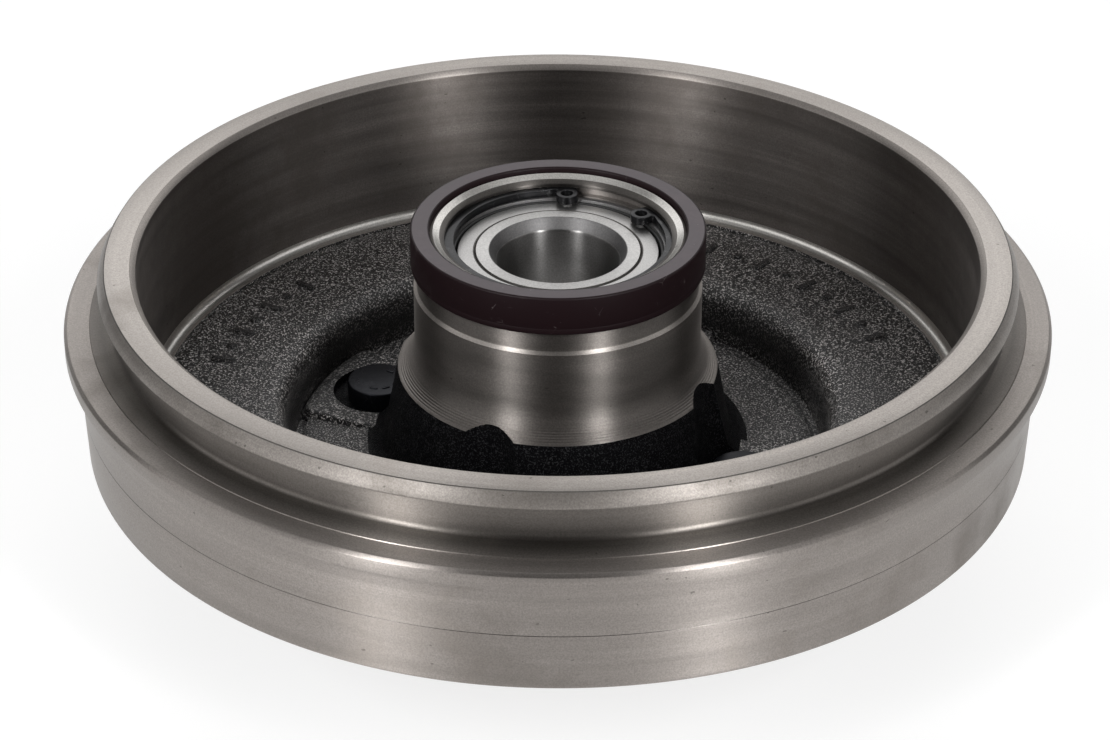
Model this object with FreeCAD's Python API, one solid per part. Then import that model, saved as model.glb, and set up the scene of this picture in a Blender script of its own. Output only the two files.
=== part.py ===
import FreeCAD, Part
import math
import os

# Rear brake drum with its hub, wheel bearing, encoder ring and wheel studs.
# Millimetres. The origin is the centre of the stud circle on the wheel-mount face.
# +Z runs along the spindle axis towards the vehicle, so the open side of the drum faces up.

# Shoe track and rim
friction_d = 203.0
track_depth = 41.5
track_fillet = 2.1
track_floor_w = 1.0
track_floor_rise = 0.2
relief_w = 1.1
relief_depth = 0.7
rim_inner_bevel = 1.3
rim_w = 9.3
rim_bevel_w = 1.75
rim_bevel_h = 3.1
rim_lip = 0.5

# Neck between the rim and the stiffening flange, and the skirt below the flange
neck_wall = 6.3
neck_round = 1.2
flange_d = 239.0
flange_drop = 14.4
flange_t = 4.2
flange_bevel = 0.8
flange_land_w = 6.1
flange_slope = 1.2
flange_step = 0.25
skirt_wall = 15.1
skirt_taper = 1.0
skirt_drop = 5.7
skirt_round = 1.2

# Cast web: outer ring, well round the studs, and the back of both
hub_plate_t = 7.1
well_depth = 12.9
web_t = 5.0
back_ring_w = 9.0
well_r = 66.2
well_draft = 0.9
well_shoulder = 4.6
well_wall = 6.6
back_fillet = 4.0
channel_w = 2.4
channel_depth = 1.5
channel_round = 0.7

# Wheel-mount face and the spigot that centres the wheel
mount_face_r = 71.5
mount_bevel = 1.5
pilot_wall = 3.0
pilot_h = 6.0
pilot_bevel = 1.0
pilot_relief_w = 1.5
pilot_relief_depth = 0.6
cap_bore_bevel = 0.8
cap_bore_inset = 0.5

# Hub: cast boss on its sloping apron, flared foot, barrel, encoder seat and end face
boss_h = 22.7
boss_step = 0.5
boss_fillet = 6.0
apron_w = 10.6
apron_rise = 1.1
floor_land_w = 5.8
flare_w = 3.9
flare_h = 8.5
band_inset = 0.8
band_h = 5.0
encoder_shoulder_w = 3.3
encoder_seat_h = 8.7
hub_end_wall = 3.5
hub_end_bevel = 0.8
hub_face_w = 1.5
hub_face_slope = 0.9
hub_mouth_h = 0.8

# Bearing seat in the hub
bearing_seat_h = 24.5
seat_shoulder_w = 1.8
seat_shoulder_h = 3.5

# Bearing, from the spindle bore outwards
bearing_bore_d = 30.0
bore_bevel_w = 1.65
bore_bevel_h = 2.95
inner_ring_wall = 2.181
inner_ring_inset = 0.5
ball_d = 7.938
balls_per_row = 12
race_clearance = 0.15
running_gap = 0.3
outer_ring_wall = 2.081
outer_ring_w = 37.0
ring_bevel = 0.8
shoulder_deep = 2.95
shoulder_shallow = 1.2
seal_bore_wall = 1.9
seal_bore_depth = 4.7
seal_sheet = 0.7
seal_rim_h = 4.0
flinger_sheet = 0.7
flinger_gap = 0.6
flinger_depth = 3.2
flinger_inset = 0.2
cage_back = 0.65
cage_reach = 2.8
cage_seal_gap = 0.531

# Circlip that holds the bearing
circlip_t = 2.0
circlip_play = 0.1
circlip_groove_depth = 1.5
circlip_w_back = 4.0
circlip_w_end = 2.6
circlip_gap_angle = 49.0
circlip_gap_centre = 85.0
circlip_ear_r = 2.7
circlip_eye_r = 1.25
groove_land = 0.9

# Encoder ring pressed on the hub
encoder_w = 4.7
encoder_h = 9.8
encoder_round = 0.5

# Wheel studs, pressed in from the open side
stud_count = 4
stud_pcd = 100.0
stud_thread_d = 12.0
stud_reach = 28.0
stud_tip_bevel = 1.6
stud_knurl_d = 12.5
stud_head_d = 16.0
stud_head_h = 5.5
stud_head_bevel = 0.5
spotface_d = 23.2
spotface_depth = 0.5
seat_draft_angle = 3.0
lug_rise = 1.8
lug_w = 34.0
lug_end_gap = 0.7
lug_corner = 3.5
lug_edge = 0.8

AXIS_Z = FreeCAD.Vector(0, 0, 1)
CENTRE = FreeCAD.Vector(0, 0, 0)

# Radii that follow, from the spindle bore out to the hub's foot
bore_r = bearing_bore_d / 2
ball_r = ball_d / 2
race_r = ball_r + race_clearance
pitch_r = bore_r + inner_ring_wall + race_r
bearing_r = pitch_r + race_r + outer_ring_wall
inner_high_r = pitch_r - race_r + shoulder_deep
inner_low_r = pitch_r - race_r + shoulder_shallow
outer_high_r = pitch_r + race_r - shoulder_deep
outer_low_r = pitch_r + race_r - shoulder_shallow
seal_bore_r = bearing_r - seal_bore_wall
flinger_r = seal_bore_r - seal_sheet - flinger_gap
flinger_foot_r = inner_high_r + flinger_sheet
groove_r = bearing_r + circlip_groove_depth
cap_bore_r = bearing_r - cap_bore_inset
pilot_r = cap_bore_r + pilot_wall
encoder_seat_r = bearing_r + hub_end_wall
band_r = encoder_seat_r + encoder_shoulder_w
hub_r = band_r + band_inset
flare_r = hub_r + flare_w
boss_top_r = flare_r + boss_step

# Radii of the web and of the drum's outside
friction_r = friction_d / 2
rim_r = friction_r + rim_w
neck_r = friction_r + neck_wall
skirt_r = friction_r + skirt_wall
flange_r = flange_d / 2
well_top_r = well_r + well_draft
channel_in_r = well_r - channel_w

# Heights above the wheel-mount face
floor_z = hub_plate_t
channel_z = floor_z - channel_depth
web_face_z = floor_z + well_depth
track_floor_z = web_face_z + track_floor_rise
rim_z = track_floor_z + track_depth
flange_z = rim_z - flange_drop
skirt_z = web_face_z - skirt_drop
flare_z = floor_z + boss_h
seat_z = bearing_seat_h
seat_top_z = seat_z + outer_ring_w
bearing_mid_z = seat_z + outer_ring_w / 2
seal_z = seat_top_z - seal_bore_depth
cage_top_z = seal_z - cage_seal_gap
row_z = cage_top_z - cage_back - race_r
inner_end_z = seat_top_z - inner_ring_inset
groove_top_z = seat_top_z + circlip_t + circlip_play
land_top_z = groove_top_z + groove_land
hub_end_z = land_top_z + hub_mouth_h + hub_face_slope
encoder_z = hub_end_z - encoder_seat_h
head_seat_z = floor_z - spotface_depth


def point(r, z):
    """A point of a half section: radius r from the spindle axis, height z."""
    return FreeCAD.Vector(r, 0, z)


def arc_step(centre, start, end):
    """The step of an outline that goes from start to end round centre, the short way."""
    c = point(*centre)
    middle = (point(*start) - c) + (point(*end) - c)
    middle.normalize()
    reach = (point(*start) - c).Length
    through = c + middle * reach
    return ((through.x, through.z), end)


def tangent_point(outside, centre, radius):
    """Where a line from a point outside a circle touches it, on the spindle's side."""
    reach_r, reach_z = centre[0] - outside[0], centre[1] - outside[1]
    reach = math.hypot(reach_r, reach_z)
    direction = math.atan2(reach_z, reach_r) - math.asin(radius / reach)
    run = math.sqrt(reach ** 2 - radius ** 2)
    return outside[0] + run * math.cos(direction), outside[1] + run * math.sin(direction)


def turned(start, *steps):
    """Turns a closed half section about Z. A step is a point, or an arc as a (through, end) pair."""
    edges = []
    here = start
    for step in steps + (start,):
        if isinstance(step[0], tuple):
            through, end = step
            edges.append(Part.Arc(point(*here), point(*through), point(*end)).toShape())
        else:
            end = step
            if math.dist(here, end) < 1e-6:
                continue
            edges.append(Part.makeLine(point(*here), point(*end)))
        here = end
    return Part.Face(Part.Wire(edges)).revolve(CENTRE, AXIS_Z, 360)


def cylinder(radius, low, high, x=0.0, y=0.0):
    """An upright cylinder between two heights."""
    return Part.makeCylinder(radius, high - low, FreeCAD.Vector(x, y, low), AXIS_Z)


def round_pattern(shape, count, first_angle=0.0):
    """Copies of a shape evenly spaced about Z."""
    copies = []
    for i in range(count):
        copy = shape.copy()
        copy.rotate(CENTRE, AXIS_Z, first_angle + 360.0 * i / count)
        copies.append(copy)
    return copies


def mirrored(shape):
    """The same shape on the other side of the bearing's middle plane."""
    return shape.mirror(FreeCAD.Vector(0, 0, bearing_mid_z), AXIS_Z)


def rim_outline():
    """Outer side of the drum, from the back corner of the skirt up to the friction surface."""
    foot_r = skirt_r - skirt_taper
    flange_low_z = flange_z - flange_t
    land_r = flange_r - flange_land_w
    neck_foot_z = flange_z + flange_step + flange_slope
    lip_z = rim_z - rim_bevel_h - rim_lip
    skirt_corner = ((foot_r - skirt_round, skirt_z), (foot_r, skirt_z + skirt_round))
    neck_corner = ((neck_r + neck_round, neck_foot_z), (neck_r, neck_foot_z + neck_round))
    return [
        skirt_corner[0],
        arc_step((foot_r - skirt_round, skirt_z + skirt_round), *skirt_corner),
        (skirt_r, flange_low_z),
        (flange_r, flange_low_z),
        (flange_r, flange_z - flange_bevel),
        (flange_r - flange_bevel, flange_z),
        (land_r, flange_z),
        (land_r, flange_z + flange_step),
        neck_corner[0],
        arc_step((neck_r + neck_round, neck_foot_z + neck_round), *neck_corner),
        (neck_r, lip_z),
        (rim_r, lip_z),
        (rim_r, rim_z - rim_bevel_h),
        (rim_r - rim_bevel_w, rim_z),
        (friction_r + rim_inner_bevel, rim_z),
        (friction_r, rim_z - rim_inner_bevel),
    ]


def web_outline():
    """Inner side of the drum, from the foot of the friction surface to the foot of the hub."""
    track_corner = ((friction_r, track_floor_z + track_fillet), (friction_r - track_fillet, track_floor_z))
    relief_r = friction_r - track_fillet - track_floor_w
    relief_z = track_floor_z - relief_depth
    shoulder_z = web_face_z - well_shoulder
    shoulder = ((well_top_r + well_shoulder, web_face_z), (well_top_r, shoulder_z))
    channel_out = ((well_r, channel_z + channel_round), (well_r - channel_round, channel_z))
    channel_in = ((channel_in_r, floor_z - channel_round), (channel_in_r - channel_round, floor_z))
    apron_r = channel_in_r - floor_land_w
    apron_round = (apron_w ** 2 + apron_rise ** 2) / (2 * apron_rise)
    apron_slope = math.asin(apron_w / apron_round)
    apron = ((apron_r, floor_z), (apron_r - apron_w, floor_z + apron_rise))
    fillet_centre = (apron[1][0] + boss_fillet * math.sin(apron_slope), apron[1][1] + boss_fillet * math.cos(apron_slope))
    boss_top = (boss_top_r, flare_z - boss_step)
    boss_foot = (apron[1], tangent_point(boss_top, fillet_centre, boss_fillet))
    return [
        track_corner[0],
        arc_step((friction_r - track_fillet, track_floor_z + track_fillet), *track_corner),
        (relief_r, track_floor_z),
        (relief_r, relief_z),
        (relief_r - relief_w, relief_z),
        (relief_r - relief_w, web_face_z),
        shoulder[0],
        arc_step((well_top_r + well_shoulder, shoulder_z), *shoulder),
        channel_out[0],
        arc_step((well_r - channel_round, channel_z + channel_round), *channel_out),
        (channel_in_r, channel_z),
        channel_in[0],
        arc_step((channel_in_r - channel_round, floor_z - channel_round), *channel_in),
        apron[0],
        arc_step((apron_r, floor_z + apron_round), *apron),
        arc_step(fillet_centre, *boss_foot),
        boss_top,
    ]


def hub_outline():
    """The machined hub, from its flared foot over the end face and down the bearing seat."""
    flare_round = (flare_h ** 2 + flare_w ** 2) / (2 * flare_w)
    flare = ((flare_r, flare_z), (hub_r, flare_z + flare_h))
    band_low_z = encoder_z - band_h
    mouth_z = land_top_z + hub_mouth_h
    mouth_r = encoder_seat_r - hub_end_bevel - hub_face_w
    shoulder_r = bearing_r - seat_shoulder_w
    shoulder_z = seat_z - seat_shoulder_h
    return [
        flare[0],
        arc_step((hub_r + flare_round, flare_z + flare_h), *flare),
        (hub_r, band_low_z - band_inset),
        (band_r, band_low_z),
        (band_r, encoder_z),
        (encoder_seat_r, encoder_z),
        (encoder_seat_r, hub_end_z - hub_end_bevel),
        (encoder_seat_r - hub_end_bevel, hub_end_z),
        (mouth_r, mouth_z),
        (bearing_r, land_top_z),
        (bearing_r, groove_top_z),
        (groove_r, groove_top_z),
        (groove_r, seat_top_z),
        (bearing_r, seat_top_z),
        (bearing_r, seat_z),
        (shoulder_r, seat_z),
        (shoulder_r, shoulder_z),
        (cap_bore_r, shoulder_z),
        (cap_bore_r, -pilot_h + cap_bore_bevel),
    ]


def back_outline():
    """Wheel side of the drum, from the spigot across the mount face to the skirt."""
    web_back_z = web_face_z - web_t
    wall_foot_r = mount_face_r + mount_bevel
    wall_top_r = well_top_r + well_wall + back_fillet / 2
    wall_round = ((wall_top_r, web_back_z - back_fillet), (wall_top_r + back_fillet, web_back_z))
    ring_r = skirt_r - skirt_taper - skirt_round - back_ring_w
    return [
        (cap_bore_r + cap_bore_bevel, -pilot_h),
        (pilot_r - pilot_bevel, -pilot_h),
        (pilot_r, -pilot_h + pilot_bevel),
        (pilot_r, pilot_relief_depth),
        (pilot_r + pilot_relief_w, pilot_relief_depth),
        (pilot_r + pilot_relief_w, 0),
        (mount_face_r, 0),
        (wall_foot_r, mount_bevel),
        wall_round[0],
        arc_step((wall_top_r + back_fillet, web_back_z - back_fillet), *wall_round),
        (ring_r, web_back_z),
        (ring_r, skirt_z),
    ]


def stud_lugs():
    """Raised cast pads round the studs. They end in an arc along the well's wall, with softened corners and edges."""
    end_r = well_r - lug_end_gap
    side = lug_w / 2
    corner_x = math.sqrt(end_r ** 2 - side ** 2)
    plan = [(boss_top_r, side), (boss_top_r, -side), (corner_x, -side), (end_r, 0), (corner_x, side)]
    root_left, root_right, right, middle, left = [FreeCAD.Vector(x, y, channel_z) for x, y in plan]
    outline = [
        Part.makeLine(left, root_left),
        Part.makeLine(root_left, root_right),
        Part.makeLine(root_right, right),
        Part.Arc(right, middle, left).toShape(),
    ]
    plate = Part.Face(Part.Wire(outline)).extrude(AXIS_Z * (lug_rise + channel_depth))
    upright = [e for e in plate.Edges if e.BoundBox.ZLength > lug_rise and e.BoundBox.XMin > corner_x - 1e-3]
    plate = plate.makeFillet(lug_corner, upright)
    top_z = floor_z + lug_rise
    top = [e for e in plate.Edges if e.BoundBox.ZMin > top_z - 1e-3 and e.BoundBox.XMax > boss_top_r + 1e-3]
    plate = plate.makeFillet(lug_edge, top)
    return round_pattern(plate, stud_count)


def drum():
    """The one casting: rim, friction ring, web, lugs and hub, with the stud seats cut in it."""
    first, *rest = back_outline() + rim_outline() + web_outline() + hub_outline()
    body = turned(first, *rest)
    body = body.fuse(stud_lugs())
    stud_r = stud_pcd / 2
    seat_r = spotface_d / 2
    seat_h = flare_z + flare_h - head_seat_z
    seat_mouth_r = seat_r + seat_h * math.tan(math.radians(seat_draft_angle))
    seat = Part.makeCone(seat_r, seat_mouth_r, seat_h, FreeCAD.Vector(stud_r, 0, head_seat_z), AXIS_Z)
    hole = cylinder(stud_knurl_d / 2, -1.0, hub_end_z, x=stud_r)
    cuts = round_pattern(seat.fuse(hole), stud_count)
    return body.cut(cuts).removeSplitter()


def wheel_stud(angle):
    """A wheel stud: low round head, knurled neck in the web, and the threaded shank below it."""
    head_top_z = head_seat_z + stud_head_h
    head_r = stud_head_d / 2
    knurl_r = stud_knurl_d / 2
    thread_r = stud_thread_d / 2
    stud = turned(
        (0, -stud_reach),
        (thread_r - stud_tip_bevel, -stud_reach),
        (thread_r, -stud_reach + stud_tip_bevel),
        (thread_r, 0),
        (knurl_r, 0),
        (knurl_r, head_seat_z),
        (head_r, head_seat_z),
        (head_r, head_top_z - stud_head_bevel),
        (head_r - stud_head_bevel, head_top_z),
        (0, head_top_z),
    )
    stud.translate(FreeCAD.Vector(stud_pcd / 2, 0, 0))
    stud.rotate(CENTRE, AXIS_Z, angle)
    return stud


def encoder_ring():
    """The ring that the wheel-speed sensor reads, seated on the hub's shoulder."""
    outer_r = encoder_seat_r + encoder_w
    top_z = encoder_z + encoder_h
    corner = ((outer_r, top_z - encoder_round), (outer_r - encoder_round, top_z))
    return turned(
        (encoder_seat_r, encoder_z),
        (outer_r - encoder_round, encoder_z),
        (outer_r, encoder_z + encoder_round),
        corner[0],
        arc_step((outer_r - encoder_round, top_z - encoder_round), *corner),
        (encoder_seat_r + encoder_round, top_z),
        (encoder_seat_r, top_z - encoder_round),
    )


def bearing_outer_ring():
    """One outer ring for both rows, with its seal bores at the ends."""
    high_z = math.sqrt(race_r ** 2 - (outer_high_r - pitch_r) ** 2)
    low_z = math.sqrt(race_r ** 2 - (outer_low_r - pitch_r) ** 2)
    low_row_z = 2 * bearing_mid_z - row_z
    crest_r = pitch_r + race_r
    low_step_z = seat_z + seal_bore_depth
    return turned(
        (seal_bore_r, seat_z),
        (bearing_r - ring_bevel, seat_z),
        (bearing_r, seat_z + ring_bevel),
        (bearing_r, seat_top_z - ring_bevel),
        (bearing_r - ring_bevel, seat_top_z),
        (seal_bore_r, seat_top_z),
        (seal_bore_r, seal_z),
        (outer_low_r, seal_z),
        (outer_low_r, row_z + low_z),
        ((crest_r, row_z), (outer_high_r, row_z - high_z)),
        (outer_high_r, low_row_z + high_z),
        ((crest_r, low_row_z), (outer_low_r, low_row_z - low_z)),
        (outer_low_r, low_step_z),
        (seal_bore_r, low_step_z),
    )


def inner_ring():
    """The inboard half of the split inner ring, from the middle plane to its end face."""
    high_z = math.sqrt(race_r ** 2 - (inner_high_r - pitch_r) ** 2)
    low_z = math.sqrt(race_r ** 2 - (inner_low_r - pitch_r) ** 2)
    return turned(
        (bore_r, bearing_mid_z),
        (inner_low_r, bearing_mid_z),
        (inner_low_r, row_z - low_z),
        ((pitch_r - race_r, row_z), (inner_high_r, row_z + high_z)),
        (inner_high_r, inner_end_z),
        (bore_r + bore_bevel_w, inner_end_z),
        (bore_r, inner_end_z - bore_bevel_h),
    )


def flinger():
    """The inboard pressed shield on the inner ring, an L in section."""
    top_z = inner_end_z - flinger_inset
    return turned(
        (inner_high_r, top_z - flinger_depth),
        (flinger_foot_r, top_z - flinger_depth),
        (flinger_foot_r, top_z - flinger_sheet),
        (flinger_r, top_z - flinger_sheet),
        (flinger_r, top_z),
        (inner_high_r, top_z),
    )


def seal():
    """The inboard seal in the outer ring, an L whose lip stops short of the flinger's sleeve."""
    rim_in_r = seal_bore_r - seal_sheet
    lip_r = flinger_foot_r + running_gap
    return turned(
        (lip_r, seal_z),
        (seal_bore_r, seal_z),
        (seal_bore_r, seal_z + seal_rim_h),
        (rim_in_r, seal_z + seal_rim_h),
        (rim_in_r, seal_z + seal_sheet),
        (lip_r, seal_z + seal_sheet),
    )


def cage():
    """The inboard snap cage: a back ring with open ball pockets on its other side."""
    in_r = inner_high_r + running_gap
    out_r = outer_low_r - running_gap
    band = turned(
        (in_r, row_z - cage_reach),
        (out_r, row_z - cage_reach),
        (out_r, cage_top_z),
        (in_r, cage_top_z),
    )
    pocket = Part.makeSphere(race_r, FreeCAD.Vector(pitch_r, 0, row_z))
    return band.cut(round_pattern(pocket, balls_per_row))


def circlip():
    """The internal circlip: a band that narrows to two ears with eyes, open between them."""
    outer_r = groove_r - circlip_play
    mean_w = (circlip_w_back + circlip_w_end) / 2
    offset = (circlip_w_back - circlip_w_end) / 2
    inner_r = outer_r - mean_w
    half_gap = circlip_gap_angle / 2
    low_z = seat_top_z
    high_z = seat_top_z + circlip_t
    band = cylinder(outer_r, low_z, high_z).cut(cylinder(inner_r, low_z, high_z, x=offset))
    reach = 2 * outer_r
    wedge_points = [CENTRE]
    for angle in (-half_gap, 0.0, half_gap):
        turn = math.radians(angle)
        wedge_points.append(FreeCAD.Vector(reach * math.cos(turn), reach * math.sin(turn), 0))
    wedge = Part.Face(Part.makePolygon(wedge_points + [CENTRE])).extrude(AXIS_Z * circlip_t)
    wedge.translate(FreeCAD.Vector(0, 0, low_z))
    clip = band.cut(wedge)
    ear_at = bearing_r - circlip_ear_r - circlip_play
    eyes = []
    ears = []
    for side in (-1, 1):
        turn = math.radians(side * half_gap)
        x = ear_at * math.cos(turn)
        y = ear_at * math.sin(turn)
        ears.append(cylinder(circlip_ear_r, low_z, high_z, x, y))
        eyes.append(cylinder(circlip_eye_r, low_z, high_z, x, y))
    clip = clip.fuse(ears).cut(eyes).removeSplitter()
    clip.rotate(CENTRE, AXIS_Z, circlip_gap_centre)
    return clip


def ball(number):
    """One ball of the inboard row."""
    centre = FreeCAD.Vector(pitch_r, 0, row_z)
    made = Part.makeSphere(ball_r, centre)
    made.rotate(CENTRE, AXIS_Z, 360.0 * number / balls_per_row)
    return made


def solid_of(shape):
    """The single solid of a shape."""
    return shape.Solids[0] if len(shape.Solids) == 1 else shape


def build():
    """Every piece of the assembly, by node name."""
    pieces = {
        "drum": drum(),
        "encoder_ring": encoder_ring(),
        "circlip": circlip(),
        "bearing_outer_ring": bearing_outer_ring(),
    }
    for number in range(stud_count):
        pieces[f"wheel_stud_{number + 1}"] = wheel_stud(360.0 * number / stud_count)
    rows = {
        "inner_ring": inner_ring(),
        "flinger": flinger(),
        "seal": seal(),
        "cage": cage(),
    }
    for number in range(balls_per_row):
        rows[f"ball_{number + 1:02d}"] = ball(number)
    for name, shape in rows.items():
        pieces[f"{name}_inboard"] = shape
        pieces[f"{name}_outboard"] = mirrored(shape)
    return {name: solid_of(shape) for name, shape in pieces.items()}


os.makedirs("parts", exist_ok=True)
for name, shape in build().items():
    shape.exportStep(f"parts/{name}.step")
    print(f"{name}: {len(shape.Solids)} solid, {shape.Volume / 1000:.2f} cm3, valid {shape.isValid()}")
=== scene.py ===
"""Brake drum with its hub, sealed wheel bearing, encoder ring and wheel studs, dressed round its CAD frame.

Sizes in the classes are millimetres, and meshes are made in metres.
Radii are taken from the spindle axis, +Z. Heights are taken from the wheel-mount face.
Angles are degrees about +Z from the first wheel stud, +X.
"""
import logging
import math
from dataclasses import dataclass, field
from enum import Enum, IntEnum
from typing import Callable, Optional, Sequence, Union

import bmesh
import bpy
from mathutils import Matrix, Vector, noise
from mathutils.geometry import interpolate_bezier


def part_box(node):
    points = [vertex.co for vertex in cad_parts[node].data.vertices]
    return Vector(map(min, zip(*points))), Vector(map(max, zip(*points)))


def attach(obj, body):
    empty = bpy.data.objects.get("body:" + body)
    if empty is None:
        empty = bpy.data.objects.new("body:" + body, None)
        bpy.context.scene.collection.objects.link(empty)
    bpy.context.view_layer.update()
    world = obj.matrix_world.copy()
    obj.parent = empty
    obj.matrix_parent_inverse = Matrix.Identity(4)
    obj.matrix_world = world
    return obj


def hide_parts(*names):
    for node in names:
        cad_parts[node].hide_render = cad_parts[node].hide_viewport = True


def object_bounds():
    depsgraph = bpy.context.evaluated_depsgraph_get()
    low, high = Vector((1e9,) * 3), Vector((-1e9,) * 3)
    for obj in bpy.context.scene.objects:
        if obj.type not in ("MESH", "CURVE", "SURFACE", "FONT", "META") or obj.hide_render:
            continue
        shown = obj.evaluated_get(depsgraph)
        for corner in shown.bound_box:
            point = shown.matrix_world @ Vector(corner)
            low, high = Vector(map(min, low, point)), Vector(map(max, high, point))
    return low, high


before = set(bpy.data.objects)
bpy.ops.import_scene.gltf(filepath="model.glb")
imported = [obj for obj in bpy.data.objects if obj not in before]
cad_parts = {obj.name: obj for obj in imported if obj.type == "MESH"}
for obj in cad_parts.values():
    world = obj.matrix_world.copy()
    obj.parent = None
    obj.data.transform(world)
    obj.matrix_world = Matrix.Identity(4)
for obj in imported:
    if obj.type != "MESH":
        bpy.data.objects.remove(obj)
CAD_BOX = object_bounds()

log = logging.getLogger("brake_drum")

MM = 0.001
WELD = 2e-6
POLE_R = 0.02
WHITE = (1.0, 1.0, 1.0, 1.0)
WEB_FACE = 20.0
STUD_CIRCLE_R = 50.0
STUD_SEAT = 6.6
STUD_NECK_R = 6.25
STUDS = 4
Colour = tuple[float, float, float]
Socket = bpy.types.NodeSocket
Value = Union[float, Sequence[float], Socket]
Line = Callable[[float], tuple[float, float]]


class Body(Enum):
    """The CAD bodies that pieces ride on."""

    DRUM = "drum"
    INNER_RACE = "inner_race"
    ROW_INBOARD = "ball_row_inboard"
    ROW_OUTBOARD = "ball_row_outboard"


class Slot(Enum):
    """The record's material slots."""

    IRON = "drum_iron"
    BEARING = "bearing_steel"
    SHIELD = "shield_steel"
    BALL = "ball_steel"
    RUBBER = "seal_rubber"
    CAGE = "cage_polymer"
    SPRING = "spring_steel"
    ENCODER = "encoder_composite"
    STUD = "stud_steel"


class Side(Enum):
    """The two ends of the bearing."""

    INBOARD = "inboard"
    OUTBOARD = "outboard"


# Node tools


class NodeBench:
    """Short ways to add nodes to one tree and to join them."""

    def __init__(self, tree: bpy.types.NodeTree) -> None:
        """Keeps the tree that nodes are added to."""
        self.tree = tree

    def add(
        self, kind: str, inputs: Optional[dict[Union[int, str], Value]] = None, **settings: object
    ) -> bpy.types.Node:
        """Adds a node.

        Args:
            kind: the node's type name.
            inputs: what its inputs are fed with, by name or number.
            settings: the node's own properties.

        Returns:
            The new node.
        """
        node = self.tree.nodes.new(kind)
        for name, value in settings.items():
            setattr(node, name, value)
        for name, value in (inputs or {}).items():
            self.feed(node.inputs[name], value)
        return node

    def feed(self, socket: Socket, value: Value) -> None:
        """Links a socket to an output, or sets its value.

        Args:
            socket: the input.
            value: an output socket or a plain value.
        """
        if isinstance(value, bpy.types.NodeSocket):
            self.tree.links.new(value, socket)
        else:
            socket.default_value = value

    def math(self, operation: str, first: Value, second: Value = 0.0, third: Value = 0.0) -> Socket:
        """The result of a Math node on up to three values."""
        return self.add("ShaderNodeMath", {0: first, 1: second, 2: third}, operation=operation).outputs[0]

    def times(self, first: Value, second: Value) -> Socket:
        """The product of two values."""
        return self.math("MULTIPLY", first, second)

    def times_plus(self, first: Value, second: Value, third: Value) -> Socket:
        """The product of two values, plus a third."""
        return self.math("MULTIPLY_ADD", first, second, third)

    def minus(self, first: Value, second: Value) -> Socket:
        """The first value less the second."""
        return self.math("SUBTRACT", first, second)

    def over(self, first: Value, second: Value) -> Socket:
        """The first value divided by the second."""
        return self.math("DIVIDE", first, second)

    def per_metre(self, size: Value) -> Socket:
        """How often a size in millimetres goes into a metre."""
        return self.over(1.0 / MM, size)

    def combine(self, x: Value, y: Value, z: Value) -> Socket:
        """A vector made of three values."""
        return self.add("ShaderNodeCombineXYZ", {0: x, 1: y, 2: z}).outputs[0]

    def noise(
        self,
        vector: Value,
        scale: Value,
        detail: float = 2.0,
        rough: float = 0.5,
        w: Optional[Value] = None,
    ) -> Socket:
        """Adds a Noise texture.

        Args:
            vector: where it is read.
            scale: its scale.
            detail: its number of octaves.
            rough: how strong the fine octaves are.
            w: the fourth coordinate, which makes it a 4D noise.

        Returns:
            The noise, about 0.5.
        """
        inputs = {"Vector": vector, "Scale": scale, "Detail": detail, "Roughness": rough}
        if w is not None:
            inputs["W"] = w
        kind = "3D" if w is None else "4D"
        return self.add("ShaderNodeTexNoise", inputs, noise_dimensions=kind).outputs[0]

    def cells(self, vector: Value, scale: Value, feature: str = "F1") -> bpy.types.NodeOutputs:
        """The outputs of a Voronoi texture."""
        return self.add("ShaderNodeTexVoronoi", {"Vector": vector, "Scale": scale}, feature=feature).outputs

    def ramp(self, value: Value, low: float, high: float, start: float = 0.0, end: float = 1.0) -> Socket:
        """Maps low..high to start..end, held at both ends.

        Args:
            value: what is mapped.
            low: the value that gives start.
            high: the value that gives end.
            start: the result at low.
            end: the result at high.

        Returns:
            The mapped value.
        """
        inputs = {"Value": value, "From Min": low, "From Max": high, "To Min": start, "To Max": end}
        return self.add("ShaderNodeMapRange", inputs, clamp=True).outputs[0]

    def mix(
        self,
        factor: Socket,
        first: Union[Colour, Socket],
        second: Union[Colour, Socket],
        strength: float = 1.0,
    ) -> Socket:
        """Mixes two colours.

        Args:
            factor: 0 gives the first colour and 1 the second.
            first: a colour.
            second: a colour.
            strength: what the factor is multiplied by.

        Returns:
            The mixed colour.
        """
        if strength != 1.0:
            factor = self.times(factor, strength)
        first, second = (c if isinstance(c, bpy.types.NodeSocket) else (*c, 1.0) for c in (first, second))
        return self.add("ShaderNodeMix", {0: factor, 6: first, 7: second}, data_type="RGBA").outputs[2]


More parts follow.
